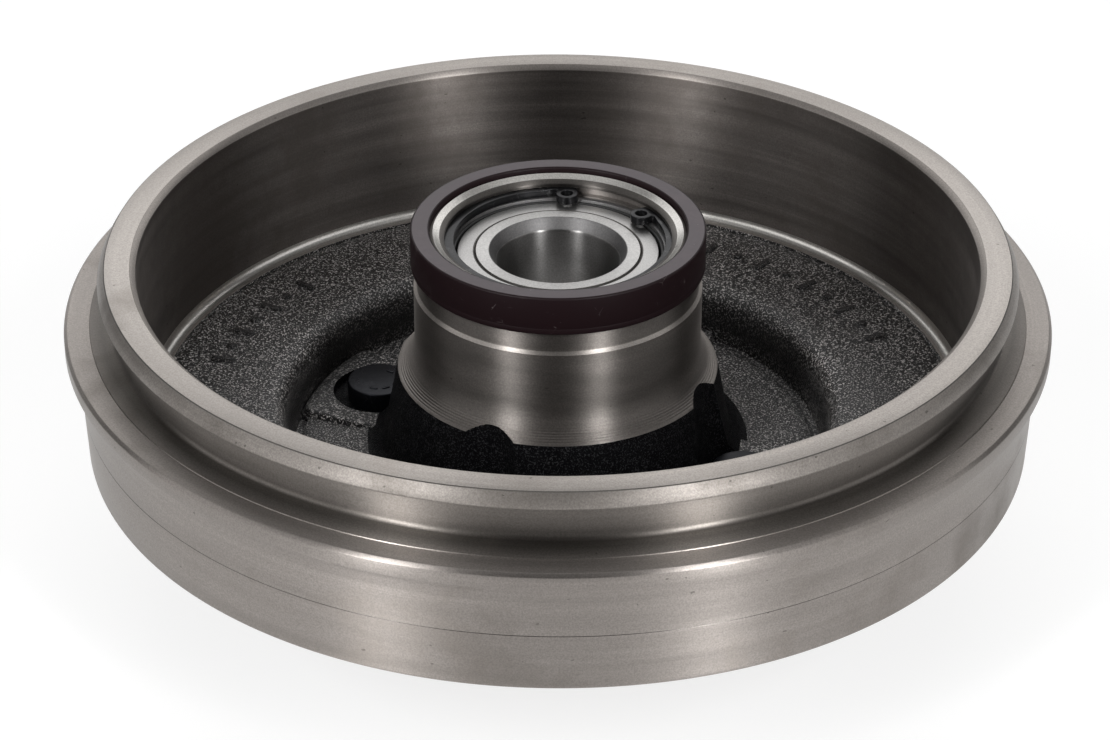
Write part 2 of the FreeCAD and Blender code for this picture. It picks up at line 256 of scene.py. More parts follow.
class EffectGroup(NodeBench):
    """A shared shader group that reads object coordinates and gives plain values."""

    def __init__(self, name: str, sizes: dict[str, float], *outputs: str) -> None:
        """Starts the group.

        Args:
            name: the group's name.
            sizes: its float inputs and their defaults.
            outputs: its float outputs.
        """
        super().__init__(bpy.data.node_groups.new(name, "ShaderNodeTree"))
        face = self.tree.interface
        face.new_socket("Vector", in_out="INPUT", socket_type="NodeSocketVector")
        for size, value in sizes.items():
            face.new_socket(size, in_out="INPUT", socket_type="NodeSocketFloat").default_value = value
        for output in outputs:
            face.new_socket(output, in_out="OUTPUT", socket_type="NodeSocketFloat")
        self.given = self.add("NodeGroupInput").outputs
        self.out = self.add("NodeGroupOutput").inputs
        self.place = self.given["Vector"]

    def give(self, output: str, value: Socket) -> None:
        """Links a result to one of the group's outputs."""
        self.feed(self.out[output], value)

    def polar(self) -> tuple[Socket, Socket, Socket, Socket]:
        """Splits the place into its parts about the axis.

        Returns:
            Its radius, X, Y and Z.
        """
        x, y, z = self.add("ShaderNodeSeparateXYZ", {0: self.place}).outputs
        radius = self.math("SQRT", self.math("ADD", self.times(x, x), self.times(y, y)))
        return radius, x, y, z


class Effects:
    """The surface effects that several finishes share, each one node group."""

    def __init__(self) -> None:
        """Builds every group once."""
        self.turning = self._turning()
        self.grain = self._grain()
        self.stains = self._stains()
        self.nicks = self._nicks()
        self.scratches = self._scratches()
        self.painted_corner_shade = self._painted_corner_shade()

    @staticmethod
    def _turning() -> bpy.types.NodeTree:
        """Tool marks that run round the axis: rings on faces, lines round walls.

        Returns:
            A group that gives the fine Height, a broad Tone, and the Flecks of graphite.
        """
        sizes = {"Pitch": 0.5, "Band": 6.0, "Around": 1.2, "Fleck": 0.4}
        group = EffectGroup("turning_marks", sizes, "Height", "Tone", "Flecks")
        radius, x, y, z = group.polar()
        safe = group.math("MAXIMUM", radius, 1e-5)
        side, front = (group.times(group.over(part, safe), group.given["Around"]) for part in (x, y))
        for size, output, detail in (("Pitch", "Height", 2.0), ("Band", "Tone", 3.0)):
            often = group.per_metre(group.given[size])
            place = group.combine(group.times(radius, often), group.times(z, often), side)
            group.give(output, group.noise(place, 1.0, detail, 0.6, w=front))
        flecks = group.noise(group.place, group.per_metre(group.given["Fleck"]), 2.0, 0.7)
        group.give("Flecks", group.ramp(flecks, 0.35, 0.65))
        return group.tree

    @staticmethod
    def _grain() -> bpy.types.NodeTree:
        """The grain of a sand-cast skin.

        Returns:
            A group that gives the Height, the mask of small bright spots painted in as glints, and a broad
            Tone.
        """
        group = EffectGroup("cast_grain", {"Grain": 0.7}, "Height", "Painted Glints", "Tone")
        often = group.per_metre(group.given["Grain"])
        fine = group.noise(group.place, often, 3.0, 0.65)
        coarse = group.noise(group.place, group.times(often, 0.22), 3.0, 0.6)
        lumps = group.ramp(group.cells(group.place, group.times(often, 0.9))["Distance"], 0.0, 0.9, 1.0, 0.0)
        height = group.math("ADD", group.times(fine, 0.9), group.times(lumps, 0.25))
        group.give("Height", group.times_plus(coarse, 0.5, height))
        # Where small bright spots are painted in as glints.
        group.give("Painted Glints", group.ramp(fine, 0.55, 0.61))
        group.give("Tone", group.noise(group.place, 45.0, 3.0, 0.6))
        return group.tree

    @staticmethod
    def _stains() -> bpy.types.NodeTree:
        """Cloudy stains.

        Returns:
            A group that gives a Mask, 1 inside a stain.
        """
        group = EffectGroup("stains", {"Size": 30.0, "Spread": 0.5}, "Mask")
        cloud = group.noise(group.place, group.per_metre(group.given["Size"]), 5.0, 0.62)
        edge = group.times_plus(group.minus(1.0, group.given["Spread"]), 0.4, 0.28)
        group.give("Mask", group.ramp(group.minus(cloud, edge), 0.0, 0.16))
        return group.tree

    @staticmethod
    def _nicks() -> bpy.types.NodeTree:
        """Small scattered nicks and pits of differing size.

        Returns:
            A group that gives a Mask, 1 in a nick.
        """
        group = EffectGroup("nicks", {"Spacing": 4.0, "Amount": 0.3}, "Mask")
        shift = group.times(group.noise(group.place, 900.0, 1.0), 0.0012)
        bend = {0: group.place, 1: (1.0, 1.0, 1.6), 2: shift}
        bent = group.add("ShaderNodeVectorMath", bend, operation="MULTIPLY_ADD").outputs[0]
        cells = group.cells(bent, group.per_metre(group.given["Spacing"]))
        luck = group.add("ShaderNodeSeparateColor", {0: cells["Color"]}).outputs
        picked = group.math("LESS_THAN", luck[0], group.given["Amount"])
        reach = group.times_plus(luck[1], 0.13, 0.03)
        spot = group.ramp(group.minus(reach, cells["Distance"]), 0.0, 0.03)
        group.give("Mask", group.times(spot, picked))
        return group.tree

    @staticmethod
    def _scratches() -> bpy.types.NodeTree:
        """Thin light handling scratches.

        Returns:
            A group that gives a Mask, 1 on a scratch.
        """
        group = EffectGroup("scratches", {"Length": 14.0, "Amount": 0.4}, "Mask")
        often = group.per_metre(group.given["Length"])
        edges = group.cells(group.place, often, "DISTANCE_TO_EDGE")
        line = group.ramp(edges["Distance"], 0.0, 0.012, 1.0, 0.0)
        gate = group.noise(group.place, group.times(often, 1.3), 2.0)
        rise = group.math("ADD", gate, group.times(group.given["Amount"], 0.3))
        group.give("Mask", group.times(line, group.ramp(rise, 0.66, 0.74)))
        return group.tree

    @staticmethod
    def _painted_corner_shade() -> bpy.types.NodeTree:
        """Painted shade in a corner that runs round the axis, fainter further from it.

        Returns:
            A group that gives a Mask, 1 in the corner.
        """
        group = EffectGroup("painted_corner_shade", {"Radius": 0.1, "Level": 0.05, "Reach": 0.01}, "Mask")
        radius, _, _, z = group.polar()
        aside = group.minus(radius, group.given["Radius"])
        above = group.minus(z, group.given["Level"])
        away = group.math("SQRT", group.times_plus(above, above, group.times(aside, aside)))
        uneven = group.ramp(group.noise(group.place, 45.0, 3.0), 0.3, 0.7, 0.85, 1.15)
        share = group.over(away, group.times(group.given["Reach"], uneven))
        group.give("Mask", group.ramp(share, 0.0, 1.0, 1.0, 0.0))
        return group.tree


class Dressing(NodeBench):
    """One material with its shader, object coordinates and bump."""

    def __init__(self, name: str, **constants: float) -> None:
        """Makes the material.

        Args:
            name: the finish's name.
            constants: plain values on the shader's own sockets, with _ for a space.
        """
        self.material = bpy.data.materials.new(name)
        self.material.use_nodes = True
        super().__init__(self.material.node_tree)
        self.tree.nodes.clear()
        self.shader = self.add("ShaderNodeBsdfPrincipled")
        self.add("ShaderNodeOutputMaterial", {0: self.shader.outputs[0]})
        for socket, value in constants.items():
            self.shader.inputs[socket.replace("_", " ")].default_value = value
        self.place = self.add("ShaderNodeTexCoord").outputs["Object"]

    def lay(self, effect: bpy.types.NodeTree, **sizes: float) -> bpy.types.NodeOutputs:
        """Lays a shared effect on the object, with its own sizes, and gives its outputs."""
        return self.add("ShaderNodeGroup", {"Vector": self.place, **sizes}, node_tree=effect).outputs

    def paint(self, socket: str, value: Socket) -> None:
        """Links one of the shader's sockets."""
        self.feed(self.shader.inputs[socket], value)

    def bump(self, height: Socket, depth: float) -> None:
        """Raises the surface by a height map of 0 to 1, to a depth in millimetres."""
        inputs = {"Strength": 1.0, "Distance": depth * MM, "Height": height}
        self.paint("Normal", self.add("ShaderNodeBump", inputs).outputs[0])

    def follow_turning(self) -> None:
        """Lays the grooves' direction round the spindle axis."""
        self.paint("Tangent", self.add("ShaderNodeTangent", direction_type="RADIAL", axis="Z").outputs[0])


# Finishes


def scaled(colour: Colour, share: float) -> Colour:
    """A colour times a share, held at white."""
    return tuple(min(1.0, part * share) for part in colour)


@dataclass(frozen=True)
class PaintedCornerShade:
    """Painted shade in a corner that runs round the axis, with sizes in millimetres."""

    r: float
    z: float
    reach: float
    strength: float

    def cover(self, dress: Dressing, effects: Effects, base: Socket, painted_shade_colour: Colour) -> Socket:
        """Darkens a colour towards the corner, as painted shade.

        Args:
            dress: the material.
            effects: the shared effects.
            base: the colour before the shade.
            painted_shade_colour: the colour of the painted shade.

        Returns:
            The colour with the painted shade on it.
        """
        mask = dress.lay(effects.painted_corner_shade, Radius=self.r * MM, Level=self.z * MM, Reach=self.reach * MM)
        return dress.mix(mask[0], base, painted_shade_colour, self.strength)


@dataclass(frozen=True)
class TurnedFinish:
    """Metal finished on a lathe: marks round the axis, graphite flecks, cloudy tone, specks and nicks."""

    name: str
    colour: Colour
    stain_colour: Colour
    roughness: float
    groove_pitch: float = 0.35
    groove_depth: float = 0.004
    band: float = 5.0
    band_tone: float = 0.18
    stain: float = 0.35
    nicks: float = 0.12
    anisotropy: float = 0.9
    flecks: float = 0.25
    # Painted shade in a corner, where the finish has one.
    painted_shade: Optional[PaintedCornerShade] = None

    def material(self, effects: Effects) -> bpy.types.Material:
        """Builds the material.

        Args:
            effects: the shared effects.

        Returns:
            The material.
        """
        dress = Dressing(self.name, Metallic=1.0, Anisotropic=self.anisotropy, Anisotropic_Rotation=0.25)
        dress.follow_turning()
        marks = dress.lay(effects.turning, Pitch=self.groove_pitch, Band=self.band)
        cloud = dress.lay(effects.stains, Size=38.0, Spread=self.stain)[0]
        specks = dress.lay(effects.nicks, Spacing=3.2, Amount=self.nicks)[0]
        tone = dress.ramp(marks["Tone"], 0.3, 0.7)
        shade, light = scaled(self.colour, 1.0 - self.band_tone), scaled(self.colour, 1.0 + self.band_tone)
        base = dress.mix(tone, shade, light)
        base = dress.mix(dress.ramp(marks["Height"], 0.35, 0.65, 0.0, 0.35), base, shade)
        base = dress.mix(marks["Flecks"], base, scaled(self.colour, 0.5), self.flecks * 2)
        base = dress.mix(cloud, base, self.stain_colour, 0.45)
        base = dress.mix(specks, base, scaled(self.stain_colour, 0.3), 0.5)
        # Painted shade: the colour gets darker towards the corner.
        if self.painted_shade:
            base = self.painted_shade.cover(dress, effects, base, scaled(self.stain_colour, 0.12))
        dress.paint("Base Color", base)
        worn = dress.times_plus(cloud, 0.10, self.roughness)
        dress.paint("Roughness", dress.times_plus(tone, 0.06, worn))
        dress.bump(marks["Height"], self.groove_depth)
        return dress.material


@dataclass(frozen=True)
class CastFinish:
    """Black-painted sand casting: strong grain, with small bright spots painted in as glints."""

    name: str
    colour: Colour
    # Colour of the small bright spots, painted glints.
    glint_colour: Colour
    roughness: float
    grain: float = 0.8
    depth: float = 0.16
    gloss: float = 0.4
    # Painted shade in a corner, where the finish has one.
    painted_shade: Optional[PaintedCornerShade] = None

    def material(self, effects: Effects) -> bpy.types.Material:
        """Builds the material.

        Args:
            effects: the shared effects.

        Returns:
            The material.
        """
        dress = Dressing(self.name, Metallic=0.0, Specular_IOR_Level=self.gloss)
        skin = dress.lay(effects.grain, Grain=self.grain)
        base = dress.mix(dress.ramp(skin["Tone"], 0.35, 0.7, 0.0, 0.5), self.colour, scaled(self.colour, 1.9))
        # Painted glints: small bright spots in the base colour.
        base = dress.mix(skin["Painted Glints"], base, self.glint_colour)
        # Painted shade: the colour gets darker towards the corner.
        if self.painted_shade:
            base = self.painted_shade.cover(dress, effects, base, scaled(self.colour, 0.3))
        dress.paint("Base Color", base)
        dress.paint("Roughness", dress.ramp(skin["Painted Glints"], 0.0, 1.0, self.roughness, self.roughness * 0.6))
        dress.bump(skin["Height"], self.depth)
        return dress.material


@dataclass(frozen=True)
class CoatedFinish:
    """A thin dark coat on small steel parts, rubbed through to grey in places."""

    name: str
    colour: Colour
    rubbed: Colour
    roughness: float
    metallic: float = 0.7
    wear: float = 0.3

    def material(self, effects: Effects) -> bpy.types.Material:
        """Builds the material.

        Args:
            effects: the shared effects.

        Returns:
            The material.
        """
        dress = Dressing(self.name, Metallic=self.metallic)
        cloud = dress.lay(effects.stains, Size=5.0, Spread=self.wear)[0]
        skin = dress.lay(effects.grain, Grain=0.35)
        lines = dress.lay(effects.scratches, Length=4.0, Amount=self.wear)[0]
        base = dress.mix(cloud, self.colour, self.rubbed, 0.35)
        dress.paint("Base Color", dress.mix(lines, base, self.rubbed, 0.6))
        dress.paint("Roughness", dress.times_plus(cloud, -0.12, self.roughness))
        dress.bump(skin["Height"], 0.02)
        return dress.material


@dataclass(frozen=True)
class MouldedFinish:
    """Moulded composite, rubber or polymer, with scuffs and a little dust."""

    name: str
    colour: Colour
    scuff: Colour
    roughness: float
    grain: float = 0.3
    depth: float = 0.006
    dust: float = 0.2
    scratches: float = 0.0
    scratch_length: float = 4.5
    gloss: float = 0.5

    def material(self, effects: Effects) -> bpy.types.Material:
        """Builds the material.

        Args:
            effects: the shared effects.

        Returns:
            The material.
        """
        dress = Dressing(self.name, Metallic=0.0, Specular_IOR_Level=self.gloss)
        skin = dress.lay(effects.grain, Grain=self.grain)
        cloud = dress.lay(effects.stains, Size=9.0, Spread=self.dust)[0]
        specks = dress.lay(effects.nicks, Spacing=1.6, Amount=self.dust * 0.5)[0]
        base = dress.mix(cloud, self.colour, self.scuff, 0.3)
        base = dress.mix(specks, base, self.scuff, 0.6)
        if self.scratches:
            lines = dress.lay(effects.scratches, Length=self.scratch_length, Amount=self.scratches)[0]
            base = dress.mix(lines, base, self.scuff, 0.8)
        dress.paint("Base Color", base)
        dress.paint("Roughness", dress.times_plus(cloud, 0.12, self.roughness))
        dress.bump(skin["Height"], self.depth)
        return dress.material


class Finish(Enum):
    """Every finish of the assembly."""

    TURNED = TurnedFinish("turned_iron", (0.325, 0.297, 0.276), (0.200, 0.177, 0.156), 0.36)
    # A darker copy of the turned iron, painted shade on the neck, with more painted shade in the corner at
    # its foot.
    SHADED_NECK = TurnedFinish(
        "shaded_neck_iron", (0.240, 0.219, 0.201), (0.150, 0.133, 0.114), 0.36, stain=0.4,
        painted_shade=PaintedCornerShade(110.3, 48.3, 5.5, 0.5),
    )
    TRACK = TurnedFinish(
        "shoe_track_iron", (0.170, 0.153, 0.143), (0.075, 0.064, 0.056), 0.38, band=3.5, band_tone=0.28,
        stain=0.65,
    )
    # Also laid on the hub band's bevel, where its lighter colour is a painted highlight.
    FACE = TurnedFinish(
        "faced_iron", (0.460, 0.425, 0.396), (0.31, 0.278, 0.25), 0.38, 0.8, 0.005, nicks=0.2, anisotropy=0.85
    )
    WORN = TurnedFinish(
        "worn_edge_iron", (0.285, 0.262, 0.242), (0.11, 0.097, 0.085), 0.45, 0.6, 0.006, stain=0.5,
        nicks=0.35, anisotropy=0.6, flecks=0.3,
    )
    HUB = TurnedFinish("hub_iron", (0.270, 0.248, 0.231), (0.170, 0.152, 0.134), 0.42, stain=0.2, nicks=0.08)
    # A much lighter copy of the hub iron, a painted highlight on the hub's end face and the track's foot
    # fillet.
    HUB_END = TurnedFinish(
        "painted_highlight_iron", (0.66, 0.64, 0.61), (0.42, 0.40, 0.37), 0.27, 0.4, 0.006, band_tone=0.1, stain=0.15,
        anisotropy=0.6,
    )
    # A dark copy of the turned iron, painted shade in the hub's mouth and in the skirt's tool line.
    RECESS_SHADE = TurnedFinish("recess_shade_iron", (0.130, 0.120, 0.112), (0.060, 0.055, 0.050), 0.32, stain=0.4)
    # A dark band, painted shade on the rim face's outer edge and in the shields' bends.
    EDGE_SHADE = CoatedFinish("painted_edge_shade", (0.060, 0.055, 0.050), (0.14, 0.13, 0.12), 0.5, 0.3, 0.2)
    # Its bright spots are painted glints, and its corner mask is painted shade down the well's wall.
    CAST = CastFinish(
        "cast_black", (0.005, 0.0047, 0.0050), (0.54, 0.516, 0.498), 0.38, 0.48, 0.22, 0.6,
        PaintedCornerShade(67.5, 11.0, 9.0, 0.9),
    )
    # Its bright spots are painted glints, dimmer than the web's.
    MARK = CastFinish("cast_black_mark", (0.005, 0.0048, 0.005), (0.15, 0.143, 0.138), 0.40, 0.45, 0.18)
    # A darker copy of the cast skin with dimmer painted glints, painted shade on the boss and in the stud
    # seats.
    SHADED_BOSS = CastFinish("cast_black_boss_shade", (0.002, 0.002, 0.0025), (0.04, 0.04, 0.042), 0.45, 0.4, 0.16, 0.08)
    GROUND = TurnedFinish(
        "ground_bearing_steel", (0.465, 0.456, 0.447), (0.33, 0.315, 0.30), 0.30, 0.2, 0.0015, band_tone=0.05,
        stain=0.2, nicks=0.03, anisotropy=0.85,
    )
    BORE = TurnedFinish(
        "honed_bore_steel", (0.32, 0.313, 0.307), (0.19, 0.18, 0.175), 0.33, 0.3, 0.002, band_tone=0.06,
        stain=0.3,
    )
    LEAD_IN = TurnedFinish(
        "lead_in_steel", (0.20, 0.196, 0.196), (0.12, 0.115, 0.11), 0.50, 0.3, 0.003, band_tone=0.1,
        stain=0.3, anisotropy=0.3,
    )
    SHIELD = TurnedFinish(
        "pressed_shield_steel", (0.44, 0.432, 0.425), (0.30, 0.29, 0.28), 0.32, 0.3, 0.002, band_tone=0.06,
        stain=0.4, nicks=0.08, anisotropy=0.5,
    )
    BALL = CoatedFinish("polished_ball_steel", (0.62, 0.62, 0.63), (0.50, 0.50, 0.50), 0.12, 1.0, 0.1)
    RUBBER = MouldedFinish("seal_rubber", (0.018, 0.018, 0.018), (0.05, 0.05, 0.05), 0.55)
    CAGE = MouldedFinish("cage_polyamide", (0.62, 0.58, 0.48), (0.45, 0.42, 0.35), 0.45)
    SPRING = CoatedFinish("black_spring_steel", (0.014, 0.014, 0.0155), (0.10, 0.10, 0.10), 0.30)
    ENCODER_SIDE = MouldedFinish(
        "encoder_side", (0.009, 0.004, 0.005), (0.10, 0.085, 0.085), 0.46, dust=0.12, scratches=0.15,
        gloss=0.15,
    )
    ENCODER_END = MouldedFinish("encoder_end", (0.058, 0.045, 0.051), (0.15, 0.13, 0.137), 0.5, dust=0.5)
    STUD = CoatedFinish("stud_phosphate", (0.012, 0.013, 0.017), (0.07, 0.07, 0.08), 0.34)


class FinishShelf:
    """Builds each finish when it is first asked for."""

    def __init__(self) -> None:
        """Starts with the shared effects and no materials."""
        self.effects = Effects()
        self.made: dict[Finish, bpy.types.Material] = {}

    def get(self, finish: Finish) -> bpy.types.Material:
        """The material of a finish.

        Args:
            finish: which one.

        Returns:
            The material.
        """
        if finish not in self.made:
            self.made[finish] = finish.value.material(self.effects)
        return self.made[finish]

    def several(self, *finishes: Finish) -> list[bpy.types.Material]:
        """The materials of several finishes, in order."""
        return [self.get(finish) for finish in finishes]


# Mesh tools


def polar(r: float, turn: float, z: float = 0.0) -> Vector:
    """The point at a radius, an angle in radians and a level."""
    return Vector((r * math.cos(turn), r * math.sin(turn), z))


def straight(begin: tuple[float, float], end: tuple[float, float]) -> Line:
    """The straight line between two points, by its share from 0 to 1."""
    return lambda share: (begin[0] + (end[0] - begin[0]) * share, begin[1] + (end[1] - begin[1]) * share)


@dataclass
class Corner:
    """A corner of a half section, and the band that ends in it."""

    r: float
    z: float
    finish: int = 0
    edge: float = 0.0

    @property
    def point(self) -> Vector:
        """The corner's place in the half section."""
        return Vector((self.r, self.z))


class HalfSection:
    """A closed half section that is turned about the spindle axis."""

    def __init__(self, r: float, z: float, finish: int = 0, edge: float = 0.0) -> None:
        """Starts the outline in its first corner, with the finish of the band that closes it."""
        self.corners = [Corner(r, z, finish, edge)]

    def to(self, r: float, z: float, finish: int = 0, edge: float = 0.0, step: float = 0.0) -> "HalfSection":
        """Adds a straight band.

        Args:
            r: radius of its end.
            z: height of its end.
            finish: index of its finish.
            edge: size of the broken edge at its end.
            step: greatest distance between its rings, or 0 for none.

        Returns:
            The section itself.
        """
        last = self.corners[-1]
        count = max(1, round(math.dist((last.r, last.z), (r, z)) / step)) if step else 1
        middle = straight((last.r, last.z), (r, z))
        self.corners += [Corner(*middle(i / count), finish) for i in range(1, count)]
        self.corners.append(Corner(r, z, finish, edge))
        return self

    def line(self, finish: int, *ends: Sequence[float]) -> "HalfSection":
        """Adds straight bands of one finish.

        Args:
            finish: index of their finish.
            ends: radius and height of each band's end, and the size of its broken edge if it has one.

        Returns:
            The section itself.
        """
        for r, z, *edge in ends:
            self.to(r, z, finish, *edge)
        return self

    def arc(
        self, centre: tuple[float, float], r: float, z: float, finish: int = 0, steps: int = 6
    ) -> "HalfSection":
        """Adds an arc, the short way round its centre.

        Args:
            centre: radius and height of its centre.
            r: radius of its end.
            z: height of its end.
            finish: index of its finish.
            steps: its number of rings.

        Returns:
            The section itself.
        """
        last = self.corners[-1]
        begin = Vector((last.r - centre[0], last.z - centre[1]))
        end = Vector((r - centre[0], z - centre[1]))
        sweep = -begin.angle_signed(end)
        for i in range(1, steps + 1):
            turned = Matrix.Rotation(sweep * i / steps, 2) @ begin
            self.corners.append(Corner(centre[0] + turned.x, centre[1] + turned.y, finish))
        return self

    def quarter(self, r: float, z: float, finish: int = 0, steps: int = 6) -> "HalfSection":
        """Adds a quarter round that goes on from a band along the axis or across it.

        Args:
            r: radius of its end.
            z: height of its end.
            finish: index of its finish.
            steps: its number of rings.

        Returns:
            The section itself.
        """
        before, last = self.corners[-2:]
        along_axis = abs(last.z - before.z) > abs(last.r - before.r)
        return self.arc((r, last.z) if along_axis else (last.r, z), r, z, finish, steps)

    def grooved(self, shape: Line, count: int, depth: float, finish: int, fade: float = 0.0) -> "HalfSection":
        """Adds a band with turned grooves along it.

        Args:
            shape: the band's line, from share 0 to 1.
            count: its number of grooves.
            depth: depth of its first groove, in millimetres.
            finish: index of its finish.
            fade: how fast the grooves get shallower, or 0 for an even depth.

        Returns:
            The section itself.
        """
        for i in range(1, 2 * count + 1):
            share = i / (2 * count)
            r, z = shape(share)
            before, after = Vector(shape(share - 0.01)), Vector(shape(min(1.0, share + 0.01)))
            along = (after - before).normalized()
            sink = depth * (1 - share) ** fade if i % 2 else 0.0
            self.corners.append(Corner(r - along.y * sink, z + along.x * sink, finish))
        return self

    def rings(self) -> list[Corner]:
        """The outline with its broken edges worked in.

        Returns:
            The rings, in order.
        """
        done: list[Corner] = []
        for i, corner in enumerate(self.corners):
            before, after = self.corners[i - 1], self.corners[(i + 1) % len(self.corners)]
            if not corner.edge:
                done.append(corner)
                continue
            here = corner.point
            back, ahead = before.point - here, after.point - here
            start = here + back.normalized() * min(corner.edge, back.length * 0.45)
            end = here + ahead.normalized() * min(corner.edge, ahead.length * 0.45)
            middle = start * 0.25 + here * 0.5 + end * 0.25
            done.append(Corner(*start, corner.finish))
            done += [Corner(*middle, after.finish), Corner(*end, after.finish)]
        return done


def tidy(mesh: bpy.types.Mesh, sharp: float = 28.0) -> bpy.types.Mesh:
    """Closes a mesh's seams, turns its faces outwards and shades it smooth between sharp edges.

    Args:
        mesh: the mesh.
        sharp: the angle from which an edge stays sharp.

    Returns:
        The same mesh.
    """
    work = bmesh.new()
    work.from_mesh(mesh)
    bmesh.ops.remove_doubles(work, verts=work.verts, dist=WELD)
    bmesh.ops.recalc_face_normals(work, faces=work.faces)
    work.to_mesh(mesh)
    work.free()
    mesh.shade_smooth()
    mesh.set_sharp_from_angle(angle=math.radians(sharp))
    return mesh


def placed(name: str, data: bpy.types.ID) -> bpy.types.Object:
    """Puts a mesh, a curve, a lamp or a camera in the scene.

    Args:
        name: the object's name.
        data: what it holds.

    Returns:
        The object.
    """
    made = bpy.data.objects.new(name, data)
    bpy.context.scene.collection.objects.link(made)
    return made


def ring_mesh(
    name: str, rings: Sequence[Sequence[Vector]], finishes: Sequence[int], closed: bool = True
) -> bpy.types.Mesh:
    """Joins rings of points, each with the same number of them, into a skin.

    Args:
        name: the mesh's name.
        rings: the rings, in metres.
        finishes: the finish index of the band that ends in each ring.
        closed: whether the last ring joins the first. If not, both ends get a cap.

    Returns:
        The mesh, not yet tidied.
    """
    around = len(rings[0])
    faces: list[Sequence[int]] = []
    indices: list[int] = []
    for band in range(0 if closed else 1, len(rings)):
        low, high = (band - 1) % len(rings) * around, band * around
        for i in range(around):
            j = (i + 1) % around
            faces.append((low + i, low + j, high + j, high + i))
        indices += [finishes[band]] * around
    if not closed:
        last = (len(rings) - 1) * around
        faces += [list(range(around)), list(range(last, last + around))]
        indices += [finishes[0], finishes[-1]]
    mesh = bpy.data.meshes.new(name)
    mesh.from_pydata([point for ring in rings for point in ring], [], faces)
    mesh.polygons.foreach_set("material_index", indices)
    return mesh


def revolve(
    name: str,
    section: HalfSection,
    materials: Sequence[bpy.types.Material],
    segments: int = 192,
    wavy: Sequence[int] = (),
    wave_depth: float = 0.0,
) -> bpy.types.Mesh:
    """Turns a half section about the spindle axis.

    Args:
        name: the mesh's name.
        section: the half section.
        materials: its finishes, by index.
        segments: number of steps round the axis.
        wavy: indices of the as-cast finishes, whose surface is uneven.
        wave_depth: how uneven that is, in millimetres.

    Returns:
        The tidied mesh.
    """
    corners = section.rings()
    rings = []
    for i, corner in enumerate(corners):
        before, after = corners[i - 1], corners[(i + 1) % len(corners)]
        along = Vector((after.r - before.r, after.z - before.z)).normalized()
        uneven = corner.finish in wavy and after.finish in wavy
        ring = []
        for step in range(segments):
            turn = math.tau * step / segments
            r, z = corner.r, corner.z
            if uneven:
                where = polar(r, turn, z)
                lift = noise.noise(where * 0.07) + 0.5 * noise.noise(where * 0.23)
                r -= along.y * lift * wave_depth
                z += along.x * lift * wave_depth
            ring.append(polar(r, turn, z) * MM)
        rings.append(ring)
    mesh = ring_mesh(name, rings, [corner.finish for corner in corners])
    for material in materials:
        mesh.materials.append(material)
    return tidy(mesh)


@dataclass
class Pad:
    """A raised pad about the axis with rounded corners, drafted sides, a soft top edge and a soft foot."""

    length: float
    width: float
    corner: float
    low: float
    foot: float
    top: float
    edge: float
    flare: float
    draft: float = 0.0
    corner_steps: int = 8
    edge_steps: int = 4

    def _radius(self, outset: float) -> float:
        """Radius of the outline's corners where it stands outside the nominal outline by the outset."""
        return max(0.05, self.corner + outset)

    def _plan(self, outset: float, z: float) -> list[Vector]:
        """The pad's outline at one level.

        Args:
            outset: how far it stands outside the nominal outline.
            z: its height.

        Returns:
            The outline in metres.
        """
        radius = self._radius(outset)
        centre = (self.length / 2 + outset - radius, self.width / 2 + outset - radius)
        outline = []
        for quarter, (sx, sy) in enumerate(((1, 1), (-1, 1), (-1, -1), (1, -1))):
            for i in range(self.corner_steps + 1):
                turn = math.radians(90.0 * (quarter + i / self.corner_steps))
                x = sx * centre[0] + radius * math.cos(turn)
                y = sy * centre[1] + radius * math.sin(turn)
                outline.append(Vector((x, y, z)) * MM)
        return outline

    def mesh(self, name: str, material_index: int = 0) -> bpy.types.Mesh:
        """Builds the pad about the axis.

        Args:
            name: the mesh's name.
            material_index: the index of its finish.

        Returns:
            The tidied mesh.
        """
        rings = [self._plan(self.flare, self.low), self._plan(self.flare, self.foot)]
        turns = [math.radians(90.0 * i / self.edge_steps) for i in range(1, self.edge_steps + 1)]
        for turn in turns:
            level = self.foot + self.flare * (1 - math.cos(turn))
            rings.append(self._plan(self.flare * (1 - math.sin(turn)), level))
        side = self.top - self.edge
        rings.append(self._plan(-self.draft, side))
        for turn in turns:
            inset = self.draft + self.edge * (1 - math.cos(turn))
            rings.append(self._plan(-inset, side + self.edge * math.sin(turn)))
        return tidy(ring_mesh(name, rings, [material_index] * len(rings), closed=False))


@dataclass
class Lug(Pad):
    """A pad that runs out from the axis and ends in an arc about it. Its length is the arc's radius."""

    inner_r: float = 30.0
    arc_steps: int = 12
    side_steps: int = 8

    def _plan(self, outset: float, z: float) -> list[Vector]:
        """The lug's outline at one level.

        Args:
            outset: how far it stands outside the nominal outline.
            z: its height.

        Returns:
            The outline in metres.
        """
        end_r, side, radius = self.length + outset, self.width / 2 + outset, self._radius(outset)
        centre_x = math.sqrt((end_r - radius) ** 2 - (side - radius) ** 2)
        meet = math.atan2(side - radius, centre_x)
        half = [polar(end_r, meet * i / self.arc_steps) for i in range(self.arc_steps)]
        for i in range(self.corner_steps + 1):
            turn = meet + (math.pi / 2 - meet) * i / self.corner_steps
            x, y = centre_x + radius * math.cos(turn), side - radius + radius * math.sin(turn)
            half.append(Vector((x, y, 0.0)))
        for i in range(1, self.side_steps + 1):
            x = self.inner_r + (centre_x - self.inner_r) * (1 - i / self.side_steps)
            half.append(Vector((x, side, 0.0)))
        outline = half + [Vector((p.x, -p.y, 0.0)) for p in reversed(half[1:])]
        return [Vector((p.x, p.y, z)) * MM for p in outline]


